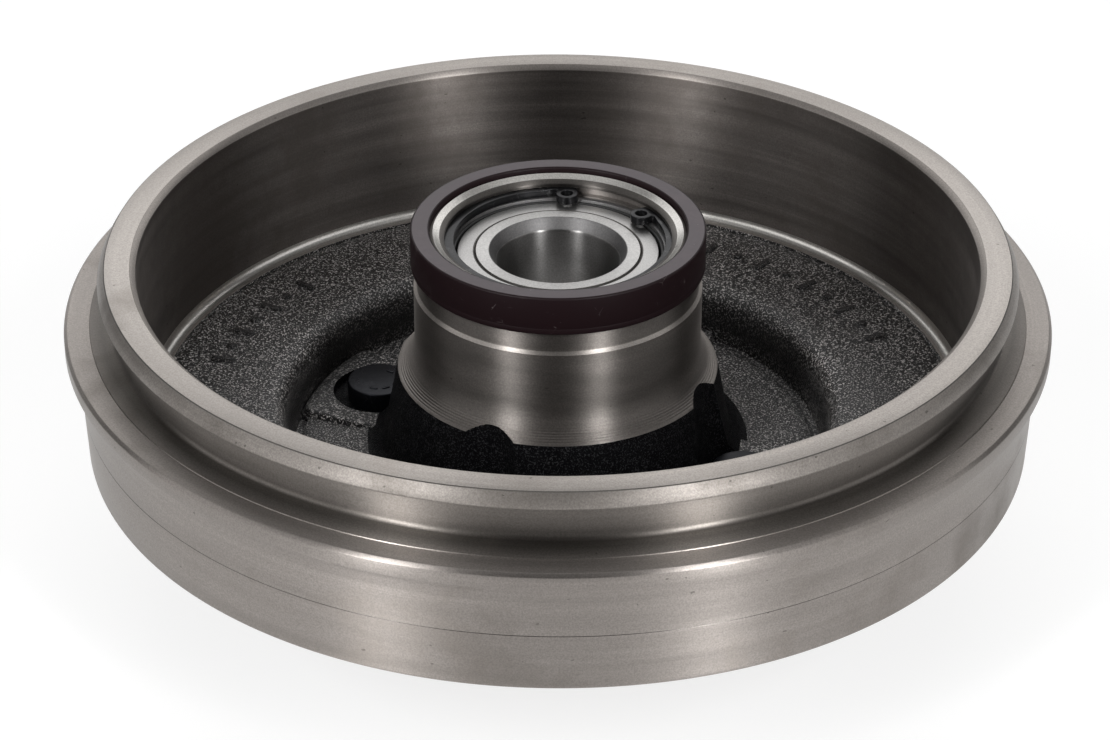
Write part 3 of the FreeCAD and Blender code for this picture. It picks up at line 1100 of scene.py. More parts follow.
def joined(name: str, meshes: Sequence[bpy.types.Mesh], places: Sequence[Matrix] = ()) -> bpy.types.Mesh:
    """Copies meshes into one mesh.

    Args:
        name: the new mesh's name.
        meshes: the meshes.
        places: where each is moved to, or none if all stay.

    Returns:
        The joined mesh.
    """
    work = bmesh.new()
    for i, mesh in enumerate(meshes):
        copy = mesh.copy()
        if places:
            copy.transform(places[i])
        work.from_mesh(copy)
        bpy.data.meshes.remove(copy)
    result = bpy.data.meshes.new(name)
    work.to_mesh(result)
    work.free()
    for material in meshes[0].materials:
        result.materials.append(material)
    return result


def plain_mesh(piece: bpy.types.Object, *others: bpy.types.Object) -> bpy.types.Mesh:
    """Takes the plain mesh that a helper's modifiers give, and clears the helpers away.

    Args:
        piece: the helper that is evaluated.
        others: helpers that it needs.

    Returns:
        A new mesh.
    """
    bpy.context.view_layer.update()
    mesh = bpy.data.meshes.new_from_object(piece.evaluated_get(bpy.context.evaluated_depsgraph_get()))
    for helper in (piece, *others):
        bpy.data.objects.remove(helper)
    return mesh


def carved(mesh: bpy.types.Mesh, tool: bpy.types.Mesh, operation: str) -> bpy.types.Mesh:
    """Adds a tool mesh to a mesh or cuts it out.

    Args:
        mesh: the mesh.
        tool: the tool mesh, in place.
        operation: UNION or DIFFERENCE.

    Returns:
        The new mesh.
    """
    piece, helper = placed("carved", mesh), placed("tool", tool)
    modifier = piece.modifiers.new("carve", "BOOLEAN")
    modifier.solver = "EXACT"
    modifier.operation = operation
    modifier.object = helper
    return plain_mesh(piece, helper)


class RoundPattern:
    """A Geometry Nodes tree that sets copies of a mesh on a circle or an arc about the axis."""

    INPUTS = {
        "Count": ("NodeSocketInt", 4),
        "Radius": ("NodeSocketFloat", 0.05),
        "First Angle": ("NodeSocketFloat", 0.0),
        "Step Angle": ("NodeSocketFloat", math.tau / 4),
        "Material": ("NodeSocketMaterial", None),
    }

    def __init__(self) -> None:
        """Builds the tree."""
        self.tree = bpy.data.node_groups.new("round_pattern", "GeometryNodeTree")
        face = self.tree.interface
        face.new_socket("Geometry", in_out="INPUT", socket_type="NodeSocketGeometry")
        self.keys: dict[str, str] = {}
        for name, (kind, value) in self.INPUTS.items():
            socket = face.new_socket(name, in_out="INPUT", socket_type=kind)
            if value is not None:
                socket.default_value = value
            self.keys[name] = socket.identifier
        face.new_socket("Geometry", in_out="OUTPUT", socket_type="NodeSocketGeometry")
        bench = NodeBench(self.tree)
        given = bench.add("NodeGroupInput").outputs
        number = bench.add("GeometryNodeInputIndex").outputs[0]
        turn = bench.times_plus(number, given["Step Angle"], given["First Angle"])
        x, y = (bench.times(given["Radius"], bench.math(part, turn)) for part in ("COSINE", "SINE"))
        inputs = {"Count": given["Count"], "Position": bench.combine(x, y, 0.0)}
        points = bench.add("GeometryNodePoints", inputs)
        facing = bench.add("FunctionNodeEulerToRotation", {0: bench.combine(0.0, 0.0, turn)})
        inputs = {"Points": points.outputs[0], "Instance": given["Geometry"], "Rotation": facing.outputs[0]}
        copies = bench.add("GeometryNodeInstanceOnPoints", inputs)
        real = bench.add("GeometryNodeRealizeInstances", {"Geometry": copies.outputs[0]})
        inputs = {"Geometry": real.outputs[0], "Material": given["Material"]}
        bench.add("NodeGroupOutput", {0: bench.add("GeometryNodeSetMaterial", inputs).outputs[0]})

    def make(
        self,
        name: str,
        mesh: bpy.types.Mesh,
        count: int,
        radius: float,
        material: bpy.types.Material,
        first: float = 0.0,
        step: Optional[float] = None,
    ) -> bpy.types.Mesh:
        """Repeats a mesh that stands at the axis.

        Args:
            name: the new mesh's name.
            mesh: the mesh to repeat.
            count: number of copies.
            radius: radius of the circle in millimetres.
            material: the copies' material.
            first: angle of the first copy in degrees.
            step: angle between copies in degrees, or None to spread them evenly.

        Returns:
            The plain mesh of all copies.
        """
        seed = placed(name, mesh)
        modifier = seed.modifiers.new("round_pattern", "NODES")
        modifier.node_group = self.tree
        angles = (math.radians(first), math.radians(360.0 / count if step is None else step))
        for key, value in zip(self.keys.values(), (count, radius * MM, *angles, material)):
            modifier[key] = value
        result = plain_mesh(seed)
        result.name = name
        return result


def settle(name: str, mesh: bpy.types.Mesh, body: Body, slot: Slot, *nodes: str) -> None:
    """Puts a finished piece in the scene, with its body and the CAD nodes it stands for.

    Args:
        name: the piece's name.
        mesh: its mesh.
        body: the body it rides on.
        slot: not used.
        nodes: the CAD nodes it replaces.
    """
    piece = placed(name, mesh)
    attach(piece, body.value)
    if nodes:
        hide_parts(*nodes)
    log.info("%s: %d faces, rides on %s", name, len(mesh.polygons), body.value)


@dataclass(frozen=True)
class Reach:
    """How far a round CAD node reaches: its radius, and its lowest and highest level."""

    r: float
    low: float
    high: float

    @classmethod
    def of(cls, node: str, r: Optional[float] = None) -> "Reach":
        """Reads a CAD node's box.

        Args:
            node: the node's name.
            r: its radius, where the box doesn't show it.

        Returns:
            Its reach in millimetres.
        """
        low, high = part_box(node)
        return cls(r or high.x / MM, low.z / MM, high.z / MM)


@dataclass
class SubAssembly:
    """A sub-assembly, made with the finishes and the round pattern that all of them share."""

    shelf: FinishShelf
    pattern: RoundPattern

    def build(self) -> None:
        """Makes each of its pieces."""
        raise NotImplementedError


# The drum


class Skin(IntEnum):
    """Finishes of the drum's mesh, by material index."""

    TURNED = 0
    TRACK = 1
    HUB = 2
    CAST = 3
    FACE = 4
    SHADED_BOSS = 5
    SHADED_NECK = 6
    WORN = 7
    HUB_END = 8
    RECESS_SHADE = 9
    EDGE_SHADE = 10


@dataclass
class DrumCasting(SubAssembly):
    """The one iron casting: rim, shoe track, flange, skirt, web, stud lugs and hub."""

    reach: Reach = field(default_factory=lambda: Reach.of("drum"))
    encoder: Reach = field(default_factory=lambda: Reach.of("encoder_ring"))
    bearing: Reach = field(default_factory=lambda: Reach.of("bearing_outer_ring"))
    clip: Reach = field(default_factory=lambda: Reach.of("circlip"))
    track_r: float = 101.5
    track_floor: float = 20.2
    track_fillet: float = 2.1
    track_bevel: float = 1.3
    track_edge_wear: float = 0.15
    track_edge_drop: float = 0.05
    relief_start: float = 3.1
    relief_end: float = 4.2
    relief_depth: float = 0.7
    rim_z: float = 61.7
    rim_r: float = 110.8
    rim_height: float = 3.6
    rim_lip: float = 0.5
    rim_wear: float = 0.75
    rim_wear_height: float = 2.0
    rim_top_wear: float = 1.7
    rim_top_drop: float = 0.1
    edge_shade_inset: float = 1.9
    neck_r: float = 107.8
    neck_foot: float = 1.45
    neck_fillet: float = 1.2
    flange_top: float = 47.3
    flange_low: float = 43.1
    flange_land_r: float = 113.4
    flange_land_draft: float = 0.1
    flange_land_step: float = 0.25
    flange_fillet: float = 0.5
    flange_fillet_width: float = 0.25
    flange_bevel: float = 0.8
    skirt_r: float = 116.6
    skirt_foot_r: float = 115.6
    skirt_low: float = 14.3
    skirt_wall: float = 10.2
    skirt_round: float = 1.2
    tool_line_z: float = 29.0
    tool_line_half: float = 0.10
    tool_line_depth: float = 0.06
    tool_line_burr: float = 0.02
    web_face: float = WEB_FACE
    web_back: float = 15.0
    well_top_r: float = 67.1
    well_shoulder: float = 4.6
    well_r: float = 66.2
    well_floor: float = 7.1
    well_wall: float = 8.6
    well_back_round: float = 4.0
    channel_r: float = 63.8
    channel_z: float = 5.6
    channel_round: float = 0.7
    boss_r: float = 39.5
    boss_fillet: float = 6.0
    apron_width: float = 10.6
    apron_rise: float = 1.1
    floor_land: float = 5.8
    boss_lip: float = 0.5
    boss_lip_straight: float = 0.4
    boss_lip_edge: float = 0.1
    flare_r: float = 39.0
    flare_low: float = 29.8
    flare_high: float = 38.3
    flare_grooves: int = 15
    flare_groove_depth: float = 0.11
    flare_groove_fade: float = 0.8
    hub_r: float = 35.1
    barrel_grooves: int = 14
    barrel_groove_depth: float = 0.012
    band_r: float = 34.3
    band_height: float = 5.8
    band_bevel: float = 0.8
    hub_end: float = 66.2
    hub_end_wall: float = 3.5
    hub_end_bevel: float = 0.8
    hub_end_grooves: int = 4
    hub_end_groove_depth: float = 0.05
    mouth_width: float = 1.2
    mouth_depth: float = 0.9
    clip_play: float = 0.1
    clip_groove: float = 1.5
    bearing_stop: float = 1.8
    bearing_stop_height: float = 3.5
    stud_circle_r: float = STUD_CIRCLE_R
    studs: int = STUDS
    spotface_r: float = 11.6
    spotface_z: float = STUD_SEAT
    spotface_round: float = 0.5
    stud_hole_r: float = STUD_NECK_R
    seat_draft: float = 3.0
    lug_top: float = 8.9
    lug_width: float = 34.0
    lug_end_r: float = 65.5
    mount_r: float = 71.5
    mount_bevel: float = 1.5
    pilot_r: float = 30.0
    pilot_bevel: float = 1.0
    undercut: float = 0.6
    undercut_width: float = 1.5
    cap_bore_r: float = 27.0
    cap_bore_bevel: float = 0.8
    cast_step: float = 2.4
    web_back_step: float = 2.8
    wave_depth: float = 0.16
    segments: int = 336

    def _back(self) -> HalfSection:
        """Starts the section with the wheel side: spigot, mount face, outer wall of the well and web.

        Returns:
            The half section so far.
        """
        t, c = Skin.TURNED, Skin.CAST
        low, pilot, cut_r = self.reach.low, self.pilot_r, self.pilot_r + self.undercut_width
        s = HalfSection(self.cap_bore_r + self.cap_bore_bevel, low, Skin.HUB)
        s.line(t, (pilot - self.pilot_bevel, low, 0.15), (pilot, low + self.pilot_bevel, 0.15))
        s.line(t, (pilot, self.undercut), (cut_r, self.undercut), (cut_r, 0.0), (self.mount_r, 0.0, 0.2))
        s.line(c, (self.mount_r + self.mount_bevel, self.mount_bevel, 0.3))
        wall_r, turn_r = self.well_top_r + self.well_wall, self.well_back_round
        s.to(wall_r, self.web_back - turn_r, c, step=self.cast_step)
        s.quarter(wall_r + turn_r, self.web_back, c)
        s.to(self.skirt_foot_r - self.skirt_wall, self.web_back, c, step=self.web_back_step)
        return s.line(t, (self.skirt_foot_r - self.skirt_wall, self.skirt_low))

    def _outside(self, s: HalfSection) -> None:
        """Draws the skirt, flange, neck and rim, from the back up to the shoe track.

        Args:
            s: the half section.
        """
        t, n, w = Skin.TURNED, Skin.SHADED_NECK, Skin.WORN
        foot_r, low, line_z = self.skirt_foot_r, self.skirt_low, self.tool_line_z
        s.to(foot_r - self.skirt_round, low, t).quarter(foot_r, low + self.skirt_round, t, 5)
        line_r = foot_r + (self.skirt_r - foot_r) * ((line_z - low) / (self.flange_low - low))
        half = self.tool_line_half
        # The tool line's groove takes the dark recess iron, a painted shade.
        s.line(t, (line_r, line_z - half)).line(Skin.RECESS_SHADE, (line_r - self.tool_line_depth, line_z))
        s.line(Skin.RECESS_SHADE, (line_r + self.tool_line_burr, line_z + half))
        s.line(t, (self.skirt_r, self.flange_low - self.flange_fillet))
        s.line(t, (self.skirt_r + self.flange_fillet_width, self.flange_low))
        r, top, bevel, land_r = self.reach.r, self.flange_top, self.flange_bevel, self.flange_land_r
        s.line(t, (r, self.flange_low, 0.3), (r, top - bevel, 0.15), (r - bevel, top, 0.15))
        s.line(t, (land_r, top), (land_r - self.flange_land_draft, top + self.flange_land_step, 0.06))
        foot, lip = top + self.neck_foot, self.rim_z - self.rim_height
        # The neck takes a darker copy of the turned iron, a painted shade.
        s.line(n, (self.neck_r + self.neck_fillet, foot, 0.12))
        s.quarter(self.neck_r, foot + self.neck_fillet, n)
        s.line(n, (self.neck_r, lip), (self.rim_r, lip, 0.2))
        s.line(w, (self.rim_r, lip + self.rim_lip))
        s.line(w, (self.rim_r - self.rim_wear, lip + self.rim_wear_height, 0.12))
        s.line(w, (self.rim_r - self.rim_top_wear, self.rim_z - self.rim_top_drop, 0.1))
        # A narrow dark band at the outer edge of the rim's face is painted shade.
        s.line(Skin.EDGE_SHADE, (self.rim_r - self.edge_shade_inset, self.rim_z))
        s.line(Skin.FACE, (self.track_r + self.track_bevel + self.track_edge_wear, self.rim_z))
        s.line(w, (self.track_r + self.track_bevel, self.rim_z - self.track_edge_drop))
        s.line(t, (self.track_r, self.rim_z - self.track_bevel, 0.12))

    def _inside(self, s: HalfSection) -> None:
        """Draws the shoe track, the web and the well's wall down to the groove at its foot.

        Args:
            s: the half section.
        """
        c, floor, sunk = Skin.CAST, self.track_floor, self.track_floor - self.relief_depth
        s.line(Skin.TRACK, (self.track_r, floor + self.track_fillet))
        # The track's foot fillet takes the much lighter iron, a painted highlight.
        s.quarter(self.track_r - self.track_fillet, floor, Skin.HUB_END, 7)
        s.line(Skin.FACE, (self.track_r - self.relief_start, floor, 0.15))
        s.line(c, (self.track_r - self.relief_start, sunk), (self.track_r - self.relief_end, sunk))
        s.line(c, (self.track_r - self.relief_end, self.web_face, 0.2))
        s.to(self.well_top_r + self.well_shoulder, self.web_face, c, step=self.cast_step)
        s.quarter(self.well_top_r, self.web_face - self.well_shoulder, c, 8)
        low, turn_r = self.channel_z, self.channel_round
        s.to(self.well_r, low + turn_r, c, step=self.cast_step).quarter(self.well_r - turn_r, low, c, 3)
        s.line(c, (self.channel_r, low), (self.channel_r, self.well_floor - turn_r))
        s.quarter(self.channel_r - turn_r, self.well_floor, c, 3)

    def _boss(self, s: HalfSection) -> None:
        """Draws the well's floor, the apron that rises from it, and the boss with its foot fillet.

        Args:
            s: the half section.
        """
        c, b = Skin.CAST, Skin.SHADED_BOSS
        apron_r = self.channel_r - self.floor_land
        s.to(apron_r, self.well_floor, c, step=self.cast_step)
        run, rise = self.apron_width, self.apron_rise
        apron_round = (run**2 + rise**2) / (2 * rise)
        foot = Vector((apron_r - run, self.well_floor + rise))
        s.arc((apron_r, self.well_floor + apron_round), *foot, c, 5)
        slope = math.asin(run / apron_round)
        centre = foot + Vector((math.sin(slope), math.cos(slope))) * self.boss_fillet
        top = Vector((self.boss_r, self.flare_low - self.boss_lip))
        to_centre = centre - top
        turn = math.atan2(to_centre.y, to_centre.x) - math.asin(self.boss_fillet / to_centre.length)
        line = math.sqrt(to_centre.length_squared - self.boss_fillet**2)
        # The boss and its foot fillet take the darker cast skin, a painted shade.
        s.arc(tuple(centre), top.x + line * math.cos(turn), top.y + line * math.sin(turn), b, 7)
        s.to(top.x, top.y - self.boss_lip_straight, b, step=self.cast_step)
        s.to(top.x - self.boss_lip_edge, top.y + self.boss_lip_edge, b)

    def _flare(self) -> Line:
        """The hub's flared foot, an arc that ends upright on the barrel.

        Returns:
            Its line, from share 0 to 1.
        """
        rise, run = self.flare_high - self.flare_low, self.flare_r - self.hub_r
        round_r = (rise**2 + run**2) / (2 * run)
        sweep = math.asin(rise / round_r)

        def flare(share: float) -> tuple[float, float]:
            """The point at a share of the arc."""
            turn = sweep * (1 - share)
            return self.hub_r + round_r * (1 - math.cos(turn)), self.flare_high - round_r * math.sin(turn)

        return flare

    def _hub(self, s: HalfSection) -> None:
        """Draws the turned hub over its end face and down through the bearing seat.

        Args:
            s: the half section.
        """
        h, m = Skin.HUB, Skin.RECESS_SHADE
        barrel_top = self.encoder.low - self.band_height
        s.line(h, (self.flare_r, self.flare_low))
        s.grooved(self._flare(), self.flare_grooves, self.flare_groove_depth, h, self.flare_groove_fade)
        barrel = straight((self.hub_r, self.flare_high), (self.hub_r, barrel_top))
        s.grooved(barrel, self.barrel_grooves, self.barrel_groove_depth, h)
        # The band's bevel takes the lighter faced finish, a painted highlight.
        s.line(Skin.FACE, (self.band_r, barrel_top + self.band_bevel, 0.12))
        s.line(h, (self.band_r, self.encoder.low))
        r, low, high, end = self.bearing.r, self.bearing.low, self.bearing.high, self.hub_end
        seat_r, bevel = r + self.hub_end_wall, self.hub_end_bevel
        s.line(h, (seat_r, self.encoder.low), (seat_r, end - bevel), (seat_r - bevel, end, 0.15))
        end_face = straight((seat_r - bevel, end), (r + self.mouth_width, end - self.mouth_depth))
        # The end face takes the much lighter iron, a painted highlight.
        s.grooved(end_face, self.hub_end_grooves, self.hub_end_groove_depth, Skin.HUB_END)
        groove_top, groove_r = self.clip.high + self.clip_play, r + self.clip_groove
        # The mouth's wall takes the dark recess iron, a painted shade.
        s.line(m, (r, groove_top + self.mouth_depth, 0.12), (r, groove_top, 0.08))
        s.line(h, (groove_r, groove_top), (groove_r, high), (r, high), (r, low))
        stop_r, stop_low = r - self.bearing_stop, low - self.bearing_stop_height
        s.line(h, (stop_r, low, 0.3), (stop_r, stop_low, 0.3), (self.cap_bore_r, stop_low))
        s.line(h, (self.cap_bore_r, self.reach.low + self.cap_bore_bevel))

    def _round_the_studs(self, name: str, mesh: bpy.types.Mesh) -> bpy.types.Mesh:
        """Turns copies of a mesh to all the studs.

        Args:
            name: the new mesh's name.
            mesh: the mesh at the first stud.

        Returns:
            The copies as one mesh.
        """
        turns = [Matrix.Rotation(math.tau * i / self.studs, 4, "Z") for i in range(self.studs)]
        return joined(name, [mesh] * self.studs, turns)

    def _lugs(self, materials: Sequence[bpy.types.Material]) -> bpy.types.Mesh:
        """The raised pads round the studs.

        Args:
            materials: the drum's finishes.

        Returns:
            The mesh of the four pads.
        """
        lug = Lug(
            length=self.lug_end_r,
            width=self.lug_width,
            corner=3.5,
            low=self.channel_z - 0.6,
            foot=self.well_floor - 0.05,
            top=self.lug_top,
            edge=0.8,
            flare=0.5,
            draft=0.1,
            inner_r=self.cap_bore_r + 1.5,
        )
        mesh = lug.mesh("lug", Skin.CAST)
        for material in materials:
            mesh.materials.append(material)
        return self._round_the_studs("lugs", mesh)

    def _seats(self, materials: Sequence[bpy.types.Material]) -> bpy.types.Mesh:
        """The cutters for the stud seats and holes.

        Args:
            materials: the drum's finishes.

        Returns:
            The mesh of the four cutters.
        """
        # The stud seats' walls take the darker cast skin of the boss, a painted shade.
        b, r, seat, top = Skin.SHADED_BOSS, self.spotface_r, self.spotface_z, self.flare_high
        bend, low = self.spotface_round, -1.0
        cutter = HalfSection(0.0, low, b)
        cutter.line(b, (self.stud_hole_r, low), (self.stud_hole_r, seat), (r - bend, seat))
        cutter.quarter(r, seat + bend, b, 3)
        cutter.line(b, (r + (top - seat) * math.tan(math.radians(self.seat_draft)), top), (0.0, top))
        mesh = revolve("seat_cutter", cutter, materials, 96)
        mesh.transform(Matrix.Translation(Vector((self.stud_circle_r, 0, 0)) * MM))
        return self._round_the_studs("seat_cutters", mesh)

    def build(self) -> None:
        """Turns the casting, adds its lugs and cuts its stud seats."""
        section = self._back()
        for draw in (self._outside, self._inside, self._boss, self._hub):
            draw(section)
        materials = self.shelf.several(*(Finish[skin.name] for skin in Skin))
        cast = (Skin.CAST, Skin.SHADED_BOSS)
        mesh = revolve("drum_casting", section, materials, self.segments, cast, self.wave_depth)
        mesh = carved(mesh, self._lugs(materials), "UNION")
        mesh = carved(mesh, self._seats(materials), "DIFFERENCE")
        settle("drum_casting", tidy(mesh), Body.DRUM, Slot.IRON, "drum")


@dataclass(frozen=True)
class MarkRow:
    """A row of raised marks on an arc: the size of one, how many, and their first and step angle."""

    name: str
    length: float
    width: float
    count: int
    first: float
    step: float


@dataclass
class CastMarks(SubAssembly):
    """Plain raised bars and pips on the web, in the places of the casting's marks."""

    web_face: float = WEB_FACE
    circle_r: float = 86.0
    height: float = 0.7
    rows: tuple[MarkRow, ...] = (
        MarkRow("bars_left", 6.0, 1.7, 4, 165.0, 9.5),
        MarkRow("bars_right", 6.0, 1.7, 5, 44.0, 10.5),
        MarkRow("pips_left", 2.2, 2.2, 3, 170.0, 9.5),
        MarkRow("pips_right", 2.2, 2.2, 4, 49.0, 10.5),
    )

    def build(self) -> None:
        """Sets the rows of bars and pips on their arcs."""
        cast = self.shelf.get(Finish.MARK)
        made = []
        for row in self.rows:
            bar = Pad(
                length=row.length,
                width=row.width,
                corner=row.width / 2,
                low=-0.6,
                foot=0.0,
                top=self.height,
                edge=0.25,
                flare=0.35,
            )
            mesh = bar.mesh(row.name)
            mesh.transform(Matrix.Translation((0, 0, self.web_face * MM)))
            place = (row.count, self.circle_r, cast, row.first, row.step)
            made.append(self.pattern.make(row.name, mesh, *place))
        settle("cast_marks", tidy(joined("cast_marks", made), 40.0), Body.DRUM, Slot.IRON)


# Studs, circlip and encoder ring


class Cut(Enum):
    """How a stretch of a stud's shank is cut."""

    PLAIN = "plain"
    THREAD = "thread"
    KNURL = "knurl"


@dataclass
class WheelStuds(SubAssembly):
    """Four wheel studs: low round head with plain raised marks, knurled neck, and threaded shank."""

    reach: Reach = field(default_factory=lambda: Reach.of("wheel_stud_1"))
    circle_r: float = STUD_CIRCLE_R
    count: int = STUDS
    head_seat: float = STUD_SEAT
    head_r: float = 8.0
    head_round: float = 0.4
    head_bevel: float = 0.3
    mark_height: float = 0.25
    mark_circle_r: float = 4.6
    neck_r: float = STUD_NECK_R
    knurls: int = 32
    knurl_depth: float = 0.22
    thread_r: float = 6.0
    thread_pitch: float = 1.5
    thread_depth: float = 0.9
    thread_end: float = -2.0
    tip_bevel: float = 1.6
    tip_edge: float = 0.1
    thread_runout: float = 0.4
    neck_low: float = -0.3
    knurl_low: float = 0.2
    knurl_end: float = 0.6
    thread_rings: int = 6
    round_steps: int = 5
    segments: int = 64

    def _radius(self, base: float, z: float, turn: float, cut: Cut) -> float:
        """Radius of the shank at a level and angle.

        Args:
            base: radius of the smooth shape.
            z: the level.
            turn: the angle in radians.
            cut: how it is cut there.

        Returns:
            The radius in millimetres.
        """
        if cut is Cut.THREAD:
            share = (z / self.thread_pitch - turn / math.tau) % 1.0
            flank = min(1.0, max(0.0, 1.25 - 2.5 * abs(share - 0.5)))
            return min(base, self.thread_r - self.thread_depth * flank)
        if cut is Cut.KNURL:
            return base - self.knurl_depth * (0.5 + 0.5 * math.cos(self.knurls * turn))
        return base

    def _levels(self) -> list[tuple[float, float, Cut]]:
        """The stud's rings from its tip to its head.

        Returns:
            The radius, the level and the cut of each.
        """
        plain, thread, knurl = Cut
        low, seat, top = self.reach.low, self.head_seat, self.reach.high - self.mark_height
        r, tip_r, start = self.thread_r, self.thread_r - self.tip_bevel, low + self.tip_edge
        levels = [(POLE_R, low, plain), (tip_r - 2 * self.tip_edge, low, plain), (tip_r, start, plain)]
        rise = self.thread_pitch / self.thread_rings
        for i in range(1, int((self.thread_end - low - self.tip_edge) / rise) + 1):
            z = start + rise * i
            levels.append((min(r, tip_r + (z - low)), z, thread))
        levels += [(r, self.thread_end + self.thread_runout, plain), (r, self.neck_low, plain)]
        levels += [(self.neck_r, self.knurl_low, knurl), (self.neck_r, seat - self.knurl_end, knurl)]
        levels.append((self.neck_r, seat, plain))
        levels.append((self.head_r - self.head_bevel, seat, plain))
        levels.append((self.head_r, seat + self.head_bevel, plain))
        for i in range(self.round_steps + 1):
            turn = math.radians(90.0 * i / self.round_steps)
            inset, drop = self.head_round * (1 - math.cos(turn)), self.head_round * (1 - math.sin(turn))
            levels.append((self.head_r - inset, top - drop, plain))
        return levels + [(POLE_R, top, plain)]

    def _stud(self) -> bpy.types.Mesh:
        """Builds one stud at the axis.

        Returns:
            The mesh.
        """
        turns = [math.tau * i / self.segments for i in range(self.segments)]
        rings = []
        for base, z, cut in self._levels():
            rings.append([polar(self._radius(base, z, turn, cut), turn, z) * MM for turn in turns])
        return tidy(ring_mesh("stud", rings, [0] * len(rings), closed=False), 40.0)

    def build(self) -> None:
        """Sets the studs round the hub."""
        coat = self.shelf.get(Finish.STUD)
        bar = Pad(
            length=0.75,
            width=2.1,
            corner=0.35,
            low=-0.3,
            foot=0.0,
            top=self.mark_height,
            edge=0.1,
            flare=0.08,
        )
        mark = bar.mesh("head_mark")
        mark.transform(Matrix.Translation((0, 0, (self.reach.high - self.mark_height) * MM)))
        marks = self.pattern.make("head_marks", mark, 5, self.mark_circle_r, coat, first=100.0, step=40.0)
        stud = joined("stud", [self._stud(), marks])
        studs = self.pattern.make("wheel_studs", stud, self.count, self.circle_r, coat)
        nodes = [f"wheel_stud_{i + 1}" for i in range(self.count)]
        settle("wheel_studs", tidy(studs, 40.0), Body.DRUM, Slot.STUD, *nodes)


@dataclass
class Circlip(SubAssembly):
    """The internal circlip: a band that narrows towards two ears with eyes."""

    reach: Reach = field(default_factory=lambda: Reach.of("circlip", 28.9))
    width_back: float = 4.0
    width_end: float = 2.6
    gap_centre: float = 84.3
    half_gap: float = 25.2
    ear_at: float = 24.7
    ear_r: float = 2.7
    ear_sweep: float = 205.0
    ear_join: float = 15.0
    eye_r: float = 1.5
    edge: float = 0.14
    band_pull: float = 1.6
    ear_pull: float = 1.9
    leave_pull: float = 1.4
    inner_pull: float = 2.6
    back_steps: int = 70
    inner_steps: int = 60
    ear_steps: int = 14
    bend_steps: int = 8
    eye_steps: int = 24

    def _inner(self, turn: float) -> float:
        """Inner radius of the band at an angle in radians from the gap's middle."""
        mean, swing = (self.width_back + self.width_end) / 2, (self.width_back - self.width_end) / 2
        return self.reach.r - mean + swing * math.cos(turn)

    def _half(self) -> list[Vector]:
        """Half of the outline, from the back's middle outside, round an ear, to the back's middle inside.

        Returns:
            The points.
        """
        gap, r = math.radians(self.half_gap), self.reach.r
        ear, outward, aside = polar(self.ear_at, gap), polar(1.0, gap), polar(1.0, gap - math.pi / 2)
        back, inside, round_ear = self.back_steps, self.inner_steps, self.ear_steps
        points = [polar(r, math.pi + (gap - math.pi) * i / back) for i in range(back)]
        end, side = polar(r, gap - 0.01), ear + aside * self.ear_r
        leave, arrive = end + aside * self.band_pull, side + outward * self.ear_pull
        points += interpolate_bezier(end, leave, arrive, side, self.bend_steps)[:-1]
        for i in range(round_ear + 1):
            turn = math.radians(self.ear_sweep) * i / round_ear
            points.append(ear + (aside * math.cos(turn) - outward * math.sin(turn)) * self.ear_r)
        last = points[-1]
        leave = last + (points[-1] - points[-2]).normalized() * self.leave_pull
        begin = gap + math.radians(self.ear_join)
        join = polar(self._inner(begin), begin)
        arrive = join + polar(self.inner_pull, begin - math.pi / 2)
        points += interpolate_bezier(last, leave, arrive, join, self.bend_steps)[1:]
        turns = [begin + (math.pi - begin) * i / inside for i in range(1, inside)]
        return points + [polar(self._inner(turn), turn) for turn in turns]

    def build(self) -> None:
        """Builds the circlip from its flat outline."""
        half = self._half()
        outlines = [half + [Vector((p.x, -p.y, 0.0)) for p in reversed(half)]]
        for sign in (-1, 1):
            eye = polar(self.ear_at, sign * math.radians(self.half_gap))
            turns = [math.tau * i / self.eye_steps for i in range(self.eye_steps)]
            outlines.append([eye + polar(self.eye_r, turn) for turn in turns])
        curve = bpy.data.curves.new("circlip", "CURVE")
        curve.dimensions = "2D"
        curve.fill_mode = "BOTH"
        curve.extrude = ((self.reach.high - self.reach.low) / 2 - self.edge) * MM
        curve.bevel_depth = self.edge * MM
        curve.bevel_resolution = 2
        curve.offset = -self.edge * MM
        for outline in outlines:
            spline = curve.splines.new("POLY")
            spline.points.add(len(outline) - 1)
            spline.use_cyclic_u = True
            for point, place in zip(spline.points, outline):
                point.co = (*(place * MM), 1.0)
        mesh = plain_mesh(placed("circlip_outline", curve))
        lift = Matrix.Translation((0, 0, (self.reach.high + self.reach.low) / 2 * MM))
        mesh.transform(lift @ Matrix.Rotation(math.radians(self.gap_centre), 4, "Z"))
        mesh.materials.clear()
        mesh.materials.append(self.shelf.get(Finish.SPRING))
        settle("circlip_ring", tidy(mesh, 35.0), Body.DRUM, Slot.SPRING, "circlip")


@dataclass
class EncoderRing(SubAssembly):
    """The dark ring that the wheel-speed sensor reads."""

    reach: Reach = field(default_factory=lambda: Reach.of("encoder_ring"))
    inner_r: float = 31.0
    round: float = 0.5
    parting_z: float = 1.6
    parting_half: float = 0.2
    parting_depth: float = 0.05

    def build(self) -> None:
        """Turns the ring, with a fine parting line low on its side."""
        r, low, top, e = self.reach.r, self.reach.low, self.reach.high, self.round
        s = HalfSection(self.inner_r, low).to(r - e, low).quarter(r, low + e, steps=4)
        line, half = low + self.parting_z, self.parting_half
        s.line(0, (r, line - half), (r - self.parting_depth, line), (r, line + half), (r, top - e))
        s.quarter(r - e, top, steps=5)
        s.to(self.inner_r + e, top, 1).quarter(self.inner_r, top - e, steps=4)
        mesh = revolve("encoder", s, self.shelf.several(Finish.ENCODER_SIDE, Finish.ENCODER_END), 256)
        settle("encoder", mesh, Body.DRUM, Slot.ENCODER, "encoder_ring")


# The bearing


